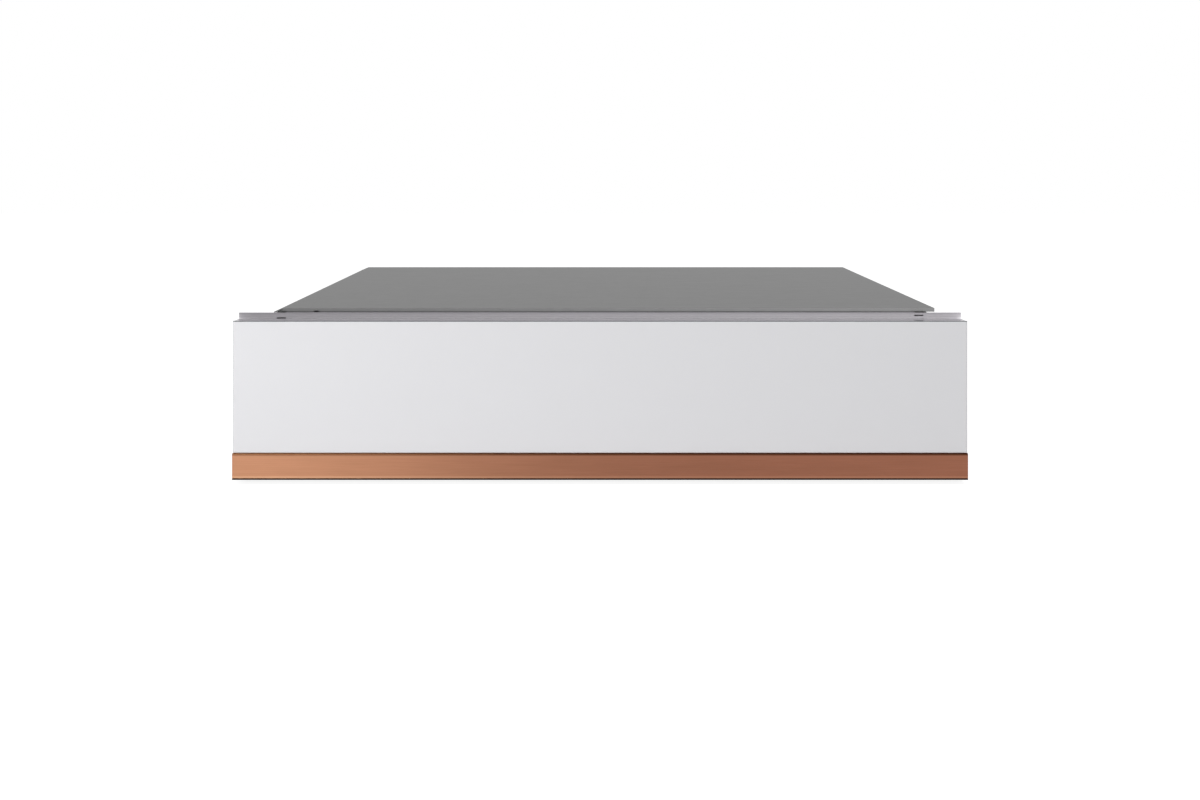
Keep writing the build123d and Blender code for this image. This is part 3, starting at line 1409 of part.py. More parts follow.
# Transformer for the sealing bar: a laminated core round its winding
core_left = half_tray_inside - pump_from_wall
core_width = 64.0
core_height = 54.0
core_depth = 26.0
core_window = 11.0
core_yoke = 11.0
winding_margin = 1.0
winding_reach = 9.0
winding_corner = 5.0
core_foot_reach = 10.0
core_foot_sheet = 2.0
core_hole_reach = 5.5
core_from_chamber = 78.0
y_core = y_chamber_back + core_from_chamber
with BuildPart() as sealing_transformer:
    with BuildSketch(Plane.XZ.offset(-(y_core - core_depth / 2))):
        with Locations((core_left + core_width / 2, tray_floor + core_height / 2)):
            Rectangle(core_width, core_height)
            with GridLocations(core_width / 2, 1, 2, 1):
                Rectangle(core_window, core_height - 2 * core_yoke, mode=Mode.SUBTRACT)
    extrude(amount=-core_depth)
    with BuildSketch(Plane.XY.offset(tray_floor + core_yoke + winding_margin)):
        with Locations((core_left + core_width / 2, y_core)):
            RectangleRounded(
                core_width / 2 + core_window - winding_margin,
                core_depth + 2 * winding_reach,
                winding_corner,
            )
    extrude(amount=core_height - 2 * (core_yoke + winding_margin))
    with BuildSketch(Plane.XY.offset(tray_floor)):
        with Locations((core_left + core_width / 2, y_core)):
            Rectangle(core_width + 2 * core_foot_reach, core_depth)
            with GridLocations(core_width + 2 * core_hole_reach, 1, 2, 1):
                Circle(screw_hole_radius, mode=Mode.SUBTRACT)
    extrude(amount=core_foot_sheet)
sealing_transformer.part.label = "sealing_transformer"
export_step(sealing_transformer.part, "parts/sealing_transformer.step")

# Power board on pillars from the tray's right wall, with capacitors, relays and a heat sink
power_board_gap = 10.0
power_board_inset = 20.0
power_board_above_floor = 12.0
power_board_length = 110.0
power_board_height = 70.0
board_hole_inset = 6.0
board_pillar_radius = 3.0
capacitor_radius = 8.0
component_pitch = 20.0
component_height = 15.0
capacitor_row = -30.0
capacitor_level = 12.0
relay_length = 15.0
relay_width = 18.0
relay_row = 18.0
heat_sink_length = 72.0
heat_sink_level = -24.0
heat_sink_height = 20.0
heat_sink_base = 3.0
heat_fin_pitch = 6.0
heat_fin_count = 4
heat_fin_reach = 16.0
heat_fin_width = 1.6
x_board_back = half_tray_inside - power_board_gap
x_board = x_board_back - board_thickness
y_power_board = y_chamber_back + power_board_inset + power_board_length / 2
z_power_board = tray_floor + power_board_above_floor + power_board_height / 2
with BuildPart() as power_board:
    with BuildSketch(Plane.YZ.offset(x_board)):
        with Locations((y_power_board, z_power_board)):
            Rectangle(power_board_length, power_board_height)
    extrude(amount=board_thickness)
    with BuildSketch(Plane.YZ.offset(x_board_back)):
        with Locations((y_power_board, z_power_board)):
            with GridLocations(
                power_board_length - 2 * board_hole_inset, power_board_height - 2 * board_hole_inset, 2, 2
            ):
                RegularPolygon(radius=board_pillar_radius, side_count=6)
    extrude(amount=power_board_gap)
    with BuildSketch(Plane.YZ.offset(x_board)):
        with Locations((y_power_board + capacitor_row, z_power_board + capacitor_level)):
            with GridLocations(component_pitch, 1, 2, 1):
                Circle(capacitor_radius)
        with Locations((y_power_board + relay_row, z_power_board + component_pitch)):
            with GridLocations(component_pitch, 1, 3, 1):
                Rectangle(relay_length, relay_width)
    extrude(amount=-component_height)
    # Heat sink with fins along the board's lower edge
    with BuildSketch(Plane.XZ.offset(-(y_power_board - heat_sink_length / 2))):
        with Locations((x_board, z_power_board + heat_sink_level)):
            Rectangle(heat_sink_base, heat_sink_height, align=(Align.MAX, Align.CENTER))
            with GridLocations(1, heat_fin_pitch, 1, heat_fin_count):
                Rectangle(heat_fin_reach, heat_fin_width, align=(Align.MAX, Align.CENTER))
    extrude(amount=-heat_sink_length)
power_board.part.label = "power_board"
export_step(power_board.part, "parts/power_board.step")

# Cooling fan: a square frame with a round duct, its hub carried by four struts
duct_wall = 2.0
duct_radius = fan_size / 2 - duct_wall
strut_depth = 4.0
strut_width = 4.0
fan_corner = 5.0
fan_screw_inset = 4.5
fan_shaft_radius = 2.0
rotor_gap = 1.0
with BuildPart() as fan_frame:
    with BuildSketch(Plane.XZ.offset(-y_fan)):
        with Locations((fan_centre_x, z_fan)):
            RectangleRounded(fan_size, fan_size, fan_corner)
            Circle(duct_radius, mode=Mode.SUBTRACT)
            with GridLocations(fan_size - 2 * fan_screw_inset, fan_size - 2 * fan_screw_inset, 2, 2):
                Circle(screw_hole_radius, mode=Mode.SUBTRACT)
    extrude(amount=-fan_depth)
    with BuildSketch(Plane.XZ.offset(-(y_tray_inside - strut_depth))):
        with Locations((fan_centre_x, z_fan)):
            Circle(fan_hub / 2)
            with PolarLocations(0, 4, start_angle=45):
                Rectangle(2 * duct_radius + duct_wall, strut_width)
    extrude(amount=-strut_depth)
    with BuildSketch(Plane.XZ.offset(-(y_tray_inside - strut_depth))):
        with Locations((fan_centre_x, z_fan)):
            Circle(fan_shaft_radius + shaft_fit)
    extrude(amount=-(strut_depth - rotor_gap), mode=Mode.SUBTRACT)
fan_frame.part.label = "fan_frame"
export_step(fan_frame.part, "parts/fan_frame.step")

# Fan rotor: hub with twisted blades, made round the Z axis and then turned to the fan's axis
rotor_recess = 3.0
rotor_bevel = 2.0
blade_overlap = 2.0
root_thickness = 1.6
tip_thickness = 1.2
rotor_depth = fan_depth - strut_depth - rotor_recess
root_chord = 15.0
root_pitch = 48.0
tip_chord = 21.0
tip_pitch = 30.0
blade_root = fan_hub / 2 - blade_overlap
# The tip's corners reach further out than its middle, and they set the gap to the duct
tip_half_width = (tip_chord * cos(radians(tip_pitch)) + tip_thickness) / 2
blade_tip = ((duct_radius - fan_tip_gap) ** 2 - tip_half_width**2) ** 0.5
with BuildPart() as fan_blade:
    with BuildSketch(Plane.YZ.offset(blade_root)):
        with Locations((0, rotor_depth / 2)):
            Rectangle(root_chord, root_thickness, rotation=root_pitch)
    with BuildSketch(Plane.YZ.offset(blade_tip)):
        with Locations((0, rotor_depth / 2)):
            Rectangle(tip_chord, tip_thickness, rotation=tip_pitch)
    loft()

y_rotor = y_tray_inside - strut_depth - rotor_gap
rotor_plane = Plane(origin=(fan_centre_x, y_rotor, z_fan), z_dir=(0, -1, 0))
with BuildPart() as fan_rotor:
    with BuildSketch(rotor_plane):
        Circle(fan_hub / 2)
    extrude(amount=rotor_depth)
    chamfer(fan_rotor.faces().sort_by(Axis.Y)[0].edges(), length=rotor_bevel)
    with Locations(rotor_plane):
        with PolarLocations(0, fan_blades):
            add(fan_blade.part)
    with BuildSketch(rotor_plane):
        Circle(fan_shaft_radius)
    extrude(amount=rotor_gap - strut_depth)
fan_rotor.part.label = "fan_rotor"
export_step(fan_rotor.part, "parts/fan_rotor.step")
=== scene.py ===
# %% [markdown]
# # A vacuum sealing drawer for a kitchen niche
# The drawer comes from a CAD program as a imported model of 59 pieces. This lesson gives each
# piece the finish that the real one has, adds the small things that a CAD model leaves out,
# and photographs it from where the picture was taken. The first step loads the model. Its
# pieces stay where they are, and everything that is added here rides on one of its bodies.

# %% Load the model
import json
import math

import bmesh
import bpy
from mathutils import Matrix, Vector


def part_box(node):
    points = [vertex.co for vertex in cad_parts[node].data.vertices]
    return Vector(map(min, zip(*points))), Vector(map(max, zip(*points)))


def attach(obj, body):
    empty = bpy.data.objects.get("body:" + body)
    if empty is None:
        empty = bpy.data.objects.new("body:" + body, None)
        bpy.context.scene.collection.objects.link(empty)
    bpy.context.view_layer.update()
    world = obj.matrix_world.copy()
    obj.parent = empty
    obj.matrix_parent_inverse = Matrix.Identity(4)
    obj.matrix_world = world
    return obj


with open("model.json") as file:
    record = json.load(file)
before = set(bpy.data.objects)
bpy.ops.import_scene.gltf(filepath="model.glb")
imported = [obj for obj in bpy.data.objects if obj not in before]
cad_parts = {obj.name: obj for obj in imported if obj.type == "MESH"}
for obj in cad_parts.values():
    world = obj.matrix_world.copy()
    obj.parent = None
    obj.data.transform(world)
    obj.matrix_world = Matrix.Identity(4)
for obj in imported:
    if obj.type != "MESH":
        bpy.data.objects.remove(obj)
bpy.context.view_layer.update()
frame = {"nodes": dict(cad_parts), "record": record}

scene = bpy.context.scene
scene.view_settings.view_transform = "Standard"
nodes = frame["nodes"]

# %% [markdown]
# ## The camera
# The picture's lines say where the camera stood. The cover's two sides run to one point, which
# lies almost on the middle of the front: the camera looked straight at it, held level, with
# the lens shifted down. A shifted lens keeps the front's vertical edges upright, as a product
# photographer wants them. The distance follows from how fast the cover narrows to the rear.

# %% Place the camera
MM = 0.001
PICTURE_WIDTH, PICTURE_HEIGHT = 1200, 800
SENSOR_WIDTH = 36.0                         # millimetres
FOCAL_PIXELS = 1609.5
VANISHING_X, HORIZON_Y = 598.2, 158.1       # where the cover's sides meet in the picture
LENS_PLACE = (-1.5, -1571.0, 264.2)         # millimetres
NEAREST_SEEN = 0.02                         # metres

camera_data = bpy.data.cameras.new("camera")
camera_data.sensor_width = SENSOR_WIDTH
camera_data.lens = FOCAL_PIXELS * SENSOR_WIDTH / PICTURE_WIDTH
camera_data.shift_x = (PICTURE_WIDTH / 2 - VANISHING_X) / PICTURE_WIDTH
camera_data.shift_y = -(PICTURE_HEIGHT / 2 - HORIZON_Y) / PICTURE_WIDTH
camera_data.clip_start = NEAREST_SEEN
camera = bpy.data.objects.new("camera", camera_data)
camera.location = [value * MM for value in LENS_PLACE]
camera.rotation_euler = (math.radians(90), 0, 0)
scene.collection.objects.link(camera)
scene.camera = camera
print("lens", round(camera_data.lens, 2), "mm, shift", round(camera_data.shift_y, 4))

# %% [markdown]
# ## Colours and nodes
# Colours are written as a web page writes them, in sRGB. Blender mixes light in linear values,
# so one function turns them. A second one adds a node to a material, sets its sockets or
# properties by name, and links what feeds it. Every material below is made with these two. A
# third one lets a colour turn to another while some value rises or falls, such as the height.

# %% Helpers for materials
def linear(colour):
    """An sRGB colour such as "#8a8a8a" as linear red, green, blue and alpha."""
    parts = [int(colour[i:i + 2], 16) / 255 for i in (1, 3, 5)]
    return [c / 12.92 if c <= 0.04045 else ((c + 0.055) / 1.055) ** 2.4 for c in parts] + [1.0]


def add(tree, kind, settings=None, links=None):
    """Adds a node. Settings name its properties or sockets, links name the sockets that are fed."""
    node = tree.nodes.new("ShaderNode" + kind)
    for name, value in (settings or {}).items():
        if isinstance(name, str) and hasattr(node, name):
            setattr(node, name, value)
        else:
            node.inputs[name].default_value = value
    for name, source in (links or {}).items():
        tree.links.new(source, node.inputs[name])
    return node


def start(name, settings):
    """A new material with one surface shader. Returns it, its tree, the shader and the position."""
    material = bpy.data.materials.new(name)
    material.use_nodes = True
    tree = material.node_tree
    tree.nodes.clear()
    surface = add(tree, "BsdfPrincipled", settings)
    add(tree, "OutputMaterial", links={"Surface": surface.outputs["BSDF"]})
    return material, tree, surface, add(tree, "TexCoord").outputs["Object"]


def toned(tree, colour, along, first, last, shade, most=1.0):
    """A written colour, or the socket of one, that turns to a shade as a value goes from first to last."""
    amount = add(tree, "MapRange", {"From Min": first, "From Max": last, "To Max": most}, {"Value": along})
    mix = add(tree, "Mix", {"data_type": "RGBA", 7: linear(shade)}, {0: amount.outputs["Result"]})
    if isinstance(colour, str):
        mix.inputs[6].default_value = linear(colour)
    else:
        tree.links.new(colour, mix.inputs[6])
    return mix.outputs[2]


finishes = {}


def keep(slot_name, material):
    """Stores the finish of a slot and says so."""
    finishes[slot_name] = material
    print(slot_name, "is", material.name)


print("a mid grey is", round(linear("#898989")[0], 3))

# %% [markdown]
# ## Light and floor
# A white studio: the floor and the walls are white to the lens and to whatever mirrors them,
# so that metal shows a plain bright room. That white is only seen, through Light Path, and
# doesn't light anything. Mirrors that look low, towards the lens, see it fade from the right
# to the left, as a room does that has its window on one side. The picture's flange and lip
# fade so.

# %% The white that is seen
SKY_GREY, WHITE = "#a9a9a9", "#ffffff"
MIRROR_LEFT, MIRROR_RIGHT = 0.4, 1.45       # how bright a mirror sees the room's two sides
# The fade sets in towards the lens and towards the ground. These are metres on the floor, and
# parts of a direction of length 1 in the sky, as are the spans to both sides.
TOWARDS_LENS, TOWARDS_GROUND = (0.1, -0.3), (0.6, 0.25)
SKY_SPAN, FLOOR_SPAN = 0.35, 0.9


def seen(tree, place, span):
    """Where the white is seen, and how bright it is there, for a place on the floor or in the sky."""
    path = add(tree, "LightPath")
    mirror = add(tree, "Math", {"operation": "MAXIMUM"},
                 {0: path.outputs["Is Glossy Ray"], 1: path.outputs["Is Transmission Ray"]})
    shows = add(tree, "Math", {"operation": "MAXIMUM"},
                {0: path.outputs["Is Camera Ray"], 1: mirror.outputs["Value"]})
    axes = add(tree, "SeparateXYZ", links={"Vector": place})
    before = add(tree, "MapRange", {"From Min": TOWARDS_LENS[0], "From Max": TOWARDS_LENS[1]},
                 {"Value": axes.outputs["Y"]})
    low = add(tree, "MapRange", {"From Min": TOWARDS_GROUND[0], "From Max": TOWARDS_GROUND[1]},
              {"Value": axes.outputs["Z"]})
    there = add(tree, "Math", {"operation": "MULTIPLY"},
                {0: before.outputs["Result"], 1: low.outputs["Result"]})
    mirrored = add(tree, "Math", {"operation": "MULTIPLY"},
                   {0: path.outputs["Is Glossy Ray"], 1: there.outputs["Value"]})
    fade = add(tree, "MapRange", {"From Min": -span, "From Max": span, "To Min": MIRROR_LEFT,
                                  "To Max": MIRROR_RIGHT}, {"Value": axes.outputs["X"]})
    level = add(tree, "Mix", {2: 1.0}, {0: mirrored.outputs["Value"], 3: fade.outputs["Result"]})
    return shows.outputs["Value"], level.outputs[0]


world = bpy.data.worlds.new("studio")
world.use_nodes = True
scene.world = world
sky = world.node_tree
sky.nodes.clear()
shows, level = seen(sky, add(sky, "TexCoord").outputs["Generated"], SKY_SPAN)
sky_colour = add(sky, "Mix", {"data_type": "RGBA", 6: linear(SKY_GREY), 7: linear(WHITE)}, {0: shows})
sky_light = add(sky, "Background", links={"Color": sky_colour.outputs[2], "Strength": level})
add(sky, "OutputWorld", links={"Surface": sky_light.outputs["Background"]})
print("the sky lights with", SKY_GREY, "and is seen", WHITE)

# %% [markdown]
# The floor is white paper. What is seen of it is partly a glow, for an even white, and partly
# the paper as the lamps light it, because only the lit part can show the drawer's shadow.

# %% The floor
FLOOR_SIZE = 12.0                           # metres
GLOW_SHARE, GLOW_BRIGHTNESS = 0.6, 1.5
bpy.ops.mesh.primitive_plane_add(size=FLOOR_SIZE)
floor = bpy.context.object
floor.name = "floor"
paper, tree, surface, position = start("white paper", {"Base Color": linear("#e6e6e8"), "Roughness": 0.9})
shows, level = seen(tree, position, FLOOR_SPAN)
brightness = add(tree, "Math", {"operation": "MULTIPLY", 1: GLOW_BRIGHTNESS}, {0: level})
glow = add(tree, "Emission", links={"Strength": brightness.outputs["Value"]})
share = add(tree, "Math", {"operation": "MULTIPLY", 1: GLOW_SHARE}, {0: shows})
paper_mix = add(tree, "MixShader", links={
    0: share.outputs["Value"], 1: surface.outputs["BSDF"], 2: glow.outputs["Emission"]})
tree.links.new(paper_mix.outputs["Shader"], tree.nodes["Material Output"].inputs["Surface"])
floor.data.materials.append(paper)
print("floor", FLOOR_SIZE, "m wide, with", paper.name)

# %% [markdown]
# The light itself is soft: the grey sky all round, a low lamp at the left that makes the white
# front fade to the right, and a large one above. Neither lamp is seen in mirrors. A third one
# only draws the pale streak that the picture shows on the copper strip. It is linked to the
# strip and its end caps alone, is mirrored and never spread, and is cool, because the metal
# tints what it mirrors.

# %% The lamps
SOFT_LAMPS = {      # place and target in metres, size in metres, power in watts
    "lamp_left": ((-1.0, -1.2, 0.45), (0.0, -0.27, 0.07), 0.8, 9.8),
    "lamp_above": ((0.5, -0.6, 2.2), (0.0, 0.0, 0.1), 1.6, 22),
}
STRIP_LAMP = ((-0.95, -1.8, 1.8), (-0.2, -0.27, 0.02), 1.1, 125)
COOL_WHITE = (0.67, 0.98, 1.0)              # linear red, green and blue of the light


def lamp(name, place, target, size, power):
    """A square soft light at place, which looks at target."""
    data = bpy.data.lights.new(name, "AREA")
    data.size = size
    data.energy = power
    light = bpy.data.objects.new(name, data)
    light.location = place
    light.rotation_euler = (Vector(target) - Vector(place)).to_track_quat("-Z", "Y").to_euler()
    scene.collection.objects.link(light)
    return light


for name, values in SOFT_LAMPS.items():
    lamp(name, *values).visible_glossy = False
strip_lamp = lamp("lamp_in_the_strip", *STRIP_LAMP)
strip_lamp.visible_diffuse = False
strip_lamp.data.color = COOL_WHITE
lit_by_it = bpy.data.collections.new("lit_by_the_strip_lamp")
for name in ("trim_strip", "strip_end_caps"):
    lit_by_it.objects.link(nodes[name])
strip_lamp.light_linking.receiver_collection = lit_by_it
print("lamps:", [light.name for light in bpy.data.lights])

# %% [markdown]
# ## The glass front
# The front is a sheet of float glass with white paint baked on its back. Seen from the front
# it is an even, slightly cool white under a clear gloss. Its ground edges show no paint, only
# the grey-green of the glass's own body. Between them and the front runs a narrow polished
# bevel, which bends the view: at the bottom it shows the white paint, so it shades as if it
# faced the lens, and its colour there is a painted highlight, paler and pinker than the paint.
# Every face that points up, the top bevel and the top edge, is a dark grey that is a painted
# reflection of the steel behind the glass. The solid has these faces, so the finish only looks
# at which way each one points.

# %% Painted float glass
GROUND_EDGE, BEVEL, PAINT = "#9aa09e", "#c9cacb", "#dedee0"
# The pale pink is a painted highlight for the bottom bevel, the dark grey a painted reflection on faces that
# point up.
PAINTED_LOW_HIGHLIGHT, PAINTED_TOP_REFLECTION = "#fbf3f4", "#5c5f62"
TILTED, FRONTAL = (0.3, 0.6), (0.8, 0.98)   # how much of a face's direction points to a side
glass, tree, surface, position = start("float glass with white paint behind", {
    "Roughness": 0.06, "IOR": 1.52, "Coat Weight": 0.5, "Coat Roughness": 0.02})
normal = add(tree, "NewGeometry").outputs["Normal"]
facing = add(tree, "SeparateXYZ", links={"Vector": normal})
colour = toned(tree, GROUND_EDGE, facing.outputs["Y"], -TILTED[0], -TILTED[1], BEVEL)
colour = toned(tree, colour, facing.outputs["Y"], -FRONTAL[0], -FRONTAL[1], PAINT)
tilted = {axis: add(tree, "MapRange", {"From Min": -TILTED[0], "From Max": -TILTED[1]},
                    {"Value": facing.outputs[axis]}).outputs["Result"] for axis in "YZ"}
# The bottom bevel gets a painted highlight, paler than the paint.
low_bevel = add(tree, "Math", {"operation": "MULTIPLY"}, {0: tilted["Z"], 1: tilted["Y"]}).outputs["Value"]
colour = add(tree, "Mix", {"data_type": "RGBA", 7: linear(PAINTED_LOW_HIGHLIGHT)}, {0: low_bevel, 6: colour}).outputs[2]
# Every face that points up gets a painted reflection, dark grey.
colour = toned(tree, colour, facing.outputs["Z"], *TILTED, PAINTED_TOP_REFLECTION)
tree.links.new(colour, surface.inputs["Base Color"])
shades_as = add(tree, "Mix", {"data_type": "VECTOR", 5: (0, -1, 0)}, {0: low_bevel, 4: normal})
tree.links.new(shades_as.outputs[1], surface.inputs["Normal"])
keep("white_glass", glass)

# %% [markdown]
# ## The copper-coloured strip
# The strip is an aluminium profile, brushed along its length and then anodised in a copper
# tone. Brushing draws fine lines 0.1 to 0.3 mm wide and some centimetres long. They are drawn
# about 0.5 mm wide here, because finer ones don't show at this distance. They tilt the surface
# a little up and down, which spreads each reflection into an upright streak. Light and shade
# on its edges are painted in by height, measured from the profile's own edges: a pale painted
# highlight on the rounded bead along the bottom, a painted shadow on the foot under it, and
# painted shade on the arris along the top. The clear seal over the colour ends close to both
# edges, so that they don't gleam.

# %% Measure a piece, and draw lines along it
def reach(name, axis):
    """How far a piece of the CAD model reaches along an axis, low and high, in millimetres."""
    number = "XYZ".index(axis)
    return [round(corner[number] / MM, 2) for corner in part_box(name)]


def lines_along(axis, width_mm, length_mm):
    """The Mapping scale with which noise of scale 1 makes lines along an axis."""
    scale = [1000 / width_mm] * 3
    scale["XYZ".index(axis)] = 1000 / length_mm
    return {"Scale": scale}


strip_low, strip_high = reach("trim_strip", "Z")
print("the strip reaches from", strip_low, "to", strip_high, "mm")

# %% Brushed and anodised aluminium
# The colours of a painted highlight on the bead, a painted shadow on the foot and painted shade on the arris.
BEAD_HIGHLIGHT, FOOT_SHADOW, ARRIS_SHADE = "#a06b51", "#2a130b", "#55301f"
SEAL = 0.35
copper, tree, surface, position = start("brushed aluminium, anodised in copper", {
    "Metallic": 1.0, "Roughness": 0.42, "Anisotropic": 0.9, "Coat Weight": SEAL, "Coat Roughness": 0.12,
    "Specular Tint": linear("#7a5a4c")})
fine_lines = add(tree, "Mapping", lines_along("X", 0.5, 45.0), {"Vector": position})
streaks = add(tree, "TexNoise", {"Scale": 1.0, "Detail": 3.0, "Roughness": 0.6},
              {"Vector": fine_lines.outputs["Vector"]})
broad_lines = add(tree, "Mapping", lines_along("X", 9.0, 60.0), {"Vector": position})
patches = add(tree, "TexNoise", {"Scale": 1.0, "Detail": 2.0}, {"Vector": broad_lines.outputs["Vector"]})
colour = toned(tree, "#8c5740", streaks.outputs["Fac"], 0.35, 0.65, "#935d46")
colour = toned(tree, colour, patches.outputs["Fac"], 0.4, 0.7, "#88553e", most=0.5)

height = add(tree, "SeparateXYZ", links={"Vector": position}).outputs["Z"]
# Painted light and shade by height: a highlight on the bead, a shadow on the foot, shade on the arris.
for first, last, shade in ((strip_low + 3.5, strip_low + 2.5, BEAD_HIGHLIGHT),
                           (strip_low + 1.9, strip_low + 1.3, FOOT_SHADOW),
                           (strip_high - 2.0, strip_high - 0.9, ARRIS_SHADE)):
    colour = toned(tree, colour, height, first * MM, last * MM, shade)
tree.links.new(colour, surface.inputs["Base Color"])

strip_middle, strip_half = (strip_low + strip_high) / 2, (strip_high - strip_low) / 2
off_middle = add(tree, "Math", {"operation": "SUBTRACT", 1: strip_middle * MM}, {0: height})
to_edge = add(tree, "Math", {"operation": "ABSOLUTE"}, {0: off_middle.outputs["Value"]})
seal = add(tree, "MapRange", {"From Min": (strip_half - 1.5) * MM, "From Max": (strip_half - 0.8) * MM,
                              "To Min": SEAL, "To Max": 0.0}, {"Value": to_edge.outputs["Value"]})
tree.links.new(seal.outputs["Result"], surface.inputs["Coat Weight"])
brush_bump = add(tree, "Bump", {"Strength": 0.25, "Distance": 0.00004}, {"Height": streaks.outputs["Fac"]})
tree.links.new(brush_bump.outputs["Normal"], surface.inputs["Normal"])
across = add(tree, "Tangent", {"direction_type": "RADIAL", "axis": "X"})
tree.links.new(across.outputs["Tangent"], surface.inputs["Tangent"])
keep("copper_trim", copper)

# %% [markdown]
# ## Sheet metal
# The housing and the drawer's tray are galvanised steel. Zinc freezes on it in crystals some
# millimetres wide, the spangle, which shows as a faint mottle. The flange and the pan behind
# the glass are plated instead, so they are even and a little more violet. Bent sheet has no
# sharp edges, so a Bevel node rounds the shading of the bends, which takes no more faces. In
# the picture the flange gets darker towards its rounded top and paler just above the front,
# and the pan gets paler to its rear edge. These are painted light and shade, by height and by
# depth: a painted shadow under the cover's lip along the flange's top, and painted light on
# the flange's foot and the pan's rear edge, where the gap between them lies in shade.

# %% Galvanised and plated steel
def sheet_metal(name, dark, pale, edge_on, crystal_mm, roughness, bend_mm=0.0, painted_shading=()):
    """Zinc-coated steel: crystals of two shades, a low-angle tint, soft bends, painted light and shade along
    axes.
    """
    material, tree, surface, position = start(name, {
        "Metallic": 1.0, "Roughness": roughness, "Specular Tint": linear(edge_on)})
    crystals = add(tree, "TexVoronoi", {"Scale": 1000 / crystal_mm, "Randomness": 1.0}, {"Vector": position})
    crystal_tone = add(tree, "SeparateColor", links={"Color": crystals.outputs["Color"]})
    rolled = add(tree, "Mapping", lines_along("X", 6.0, 30.0), {"Vector": position})
    clouds = add(tree, "TexNoise", {"Scale": 1.0, "Detail": 4.0}, {"Vector": rolled.outputs["Vector"]})
    both = add(tree, "Mix", {0: 0.6}, {2: crystal_tone.outputs["Red"], 3: clouds.outputs["Fac"]})
    colour = add(tree, "Mix", {"data_type": "RGBA", 6: linear(dark), 7: linear(pale)},
                 {0: both.outputs[0]}).outputs[2]
    # Painted light and shade, by place along an axis.
    for axis, first_mm, last_mm, shade in painted_shading:
        along = add(tree, "SeparateXYZ", links={"Vector": position}).outputs[axis]
        colour = toned(tree, colour, along, first_mm * MM, last_mm * MM, shade)
    tree.links.new(colour, surface.inputs["Base Color"])
    gloss = add(tree, "MapRange", {"To Min": roughness - 0.04, "To Max": roughness + 0.06},
                {"Value": clouds.outputs["Fac"]})
    tree.links.new(gloss.outputs["Result"], surface.inputs["Roughness"])
    if bend_mm:
        bend = add(tree, "Bevel", {"samples": 6, "Radius": bend_mm * MM})
        tree.links.new(bend.outputs["Normal"], surface.inputs["Normal"])
    return material


flange_top, glass_top = reach("front_flange", "Z")[1], reach("front_glass", "Z")[1]
pan_rear = reach("front_pan", "Y")[1]
# A painted shadow under the lip at the flange's top, painted light at its foot and at the pan's rear.
flange_painted_shading = [("Z", flange_top - 2.3, flange_top + 0.2, "#aba8ad"),
                ("Z", glass_top + 1.2, glass_top - 0.2, "#f3f0f4")]
pan_painted_light = [("Y", pan_rear - 7.5, pan_rear - 0.5, "#d3d0d5")]
keep("galvanised_sheet", sheet_metal("galvanised steel", "#8e8e8e", "#989898", "#b9b9b9", 7.0, 0.36, 0.35))
keep("zinc_flange", sheet_metal("zinc-plated steel", "#c8c5c9", "#cecbcf", WHITE, 1.5, 0.46,
                                painted_shading=flange_painted_shading))
keep("runner_steel", sheet_metal("bright zinc-plated steel", "#b9babd", "#c4c5c8", WHITE, 1.5, 0.25, 0.4))
keep("pan_steel", sheet_metal("electroplated steel", "#a4a2a7", "#acaaaf", WHITE, 1.5, 0.35,
                              painted_shading=pan_painted_light))

# %% [markdown]
# ## Brushed and drawn metal
# The deck and the chamber, which food comes near, are stainless steel, ground on a belt that
# leaves straight lines. Extruded aluminium and drawn copper tubes have such lines too, from
# their dies. So one function makes all three: noise stretched along one axis, as a tone and as
# a bump. The real lines are 0.1 mm wide. They are drawn 0.6 mm wide, because finer ones don't
# show here.

# %% Stainless steel, aluminium profile and copper tube
def lined_metal(name, dark, pale, axis, roughness):
    """Metal whose fine lines run along one axis."""
    material, tree, surface, position = start(name, {
        "Metallic": 1.0, "Roughness": roughness, "Anisotropic": 0.5})
    grain_lines = add(tree, "Mapping", lines_along(axis, 0.6, 50.0), {"Vector": position})
    grain = add(tree, "TexNoise", {"Scale": 1.0, "Detail": 4.0, "Roughness": 0.65},
                {"Vector": grain_lines.outputs["Vector"]}).outputs["Fac"]
    tree.links.new(toned(tree, dark, grain, 0.35, 0.65, pale), surface.inputs["Base Color"])
    bump = add(tree, "Bump", {"Strength": 0.3, "Distance": 0.00003}, {"Height": grain})
    tree.links.new(bump.outputs["Normal"], surface.inputs["Normal"])
    return material


keep("stainless", lined_metal("brushed stainless steel", "#b4b4b2", "#c2c2c0", "X", 0.28))
keep("aluminium_profile", lined_metal("anodised aluminium profile", "#bcbdbf", "#c8c9cb", "X", 0.34))
keep("pipe_metal", lined_metal("drawn copper tube", "#b87a58", "#c98c68", "Y", 0.22))

# %% [markdown]
# ## Ground and cast metal
# Screws, hinge pins, balls and their cages are turned or ground steel, close to a mirror, with
# scratches in clouds of about a millimetre. The pump's die-cast aluminium is blasted with grit,
# which makes it matt: it gets grains of 0.8 mm, both as a tone and as a bump.

# %% Ground steel and blasted casting
SCRATCHES_PER_CM = 9
bright, tree, surface, position = start("ground steel", {"Metallic": 1.0, "Roughness": 0.16})
scratches = add(tree, "TexNoise", {"Scale": 100.0 * SCRATCHES_PER_CM, "Detail": 3.0}, {"Vector": position})
bright_tone = add(tree, "Mix", {"data_type": "RGBA", 6: linear("#b6b7ba"), 7: linear("#cdced0")},
                  {0: scratches.outputs["Fac"]})
tree.links.new(bright_tone.outputs[2], surface.inputs["Base Color"])
keep("bright_steel", bright)

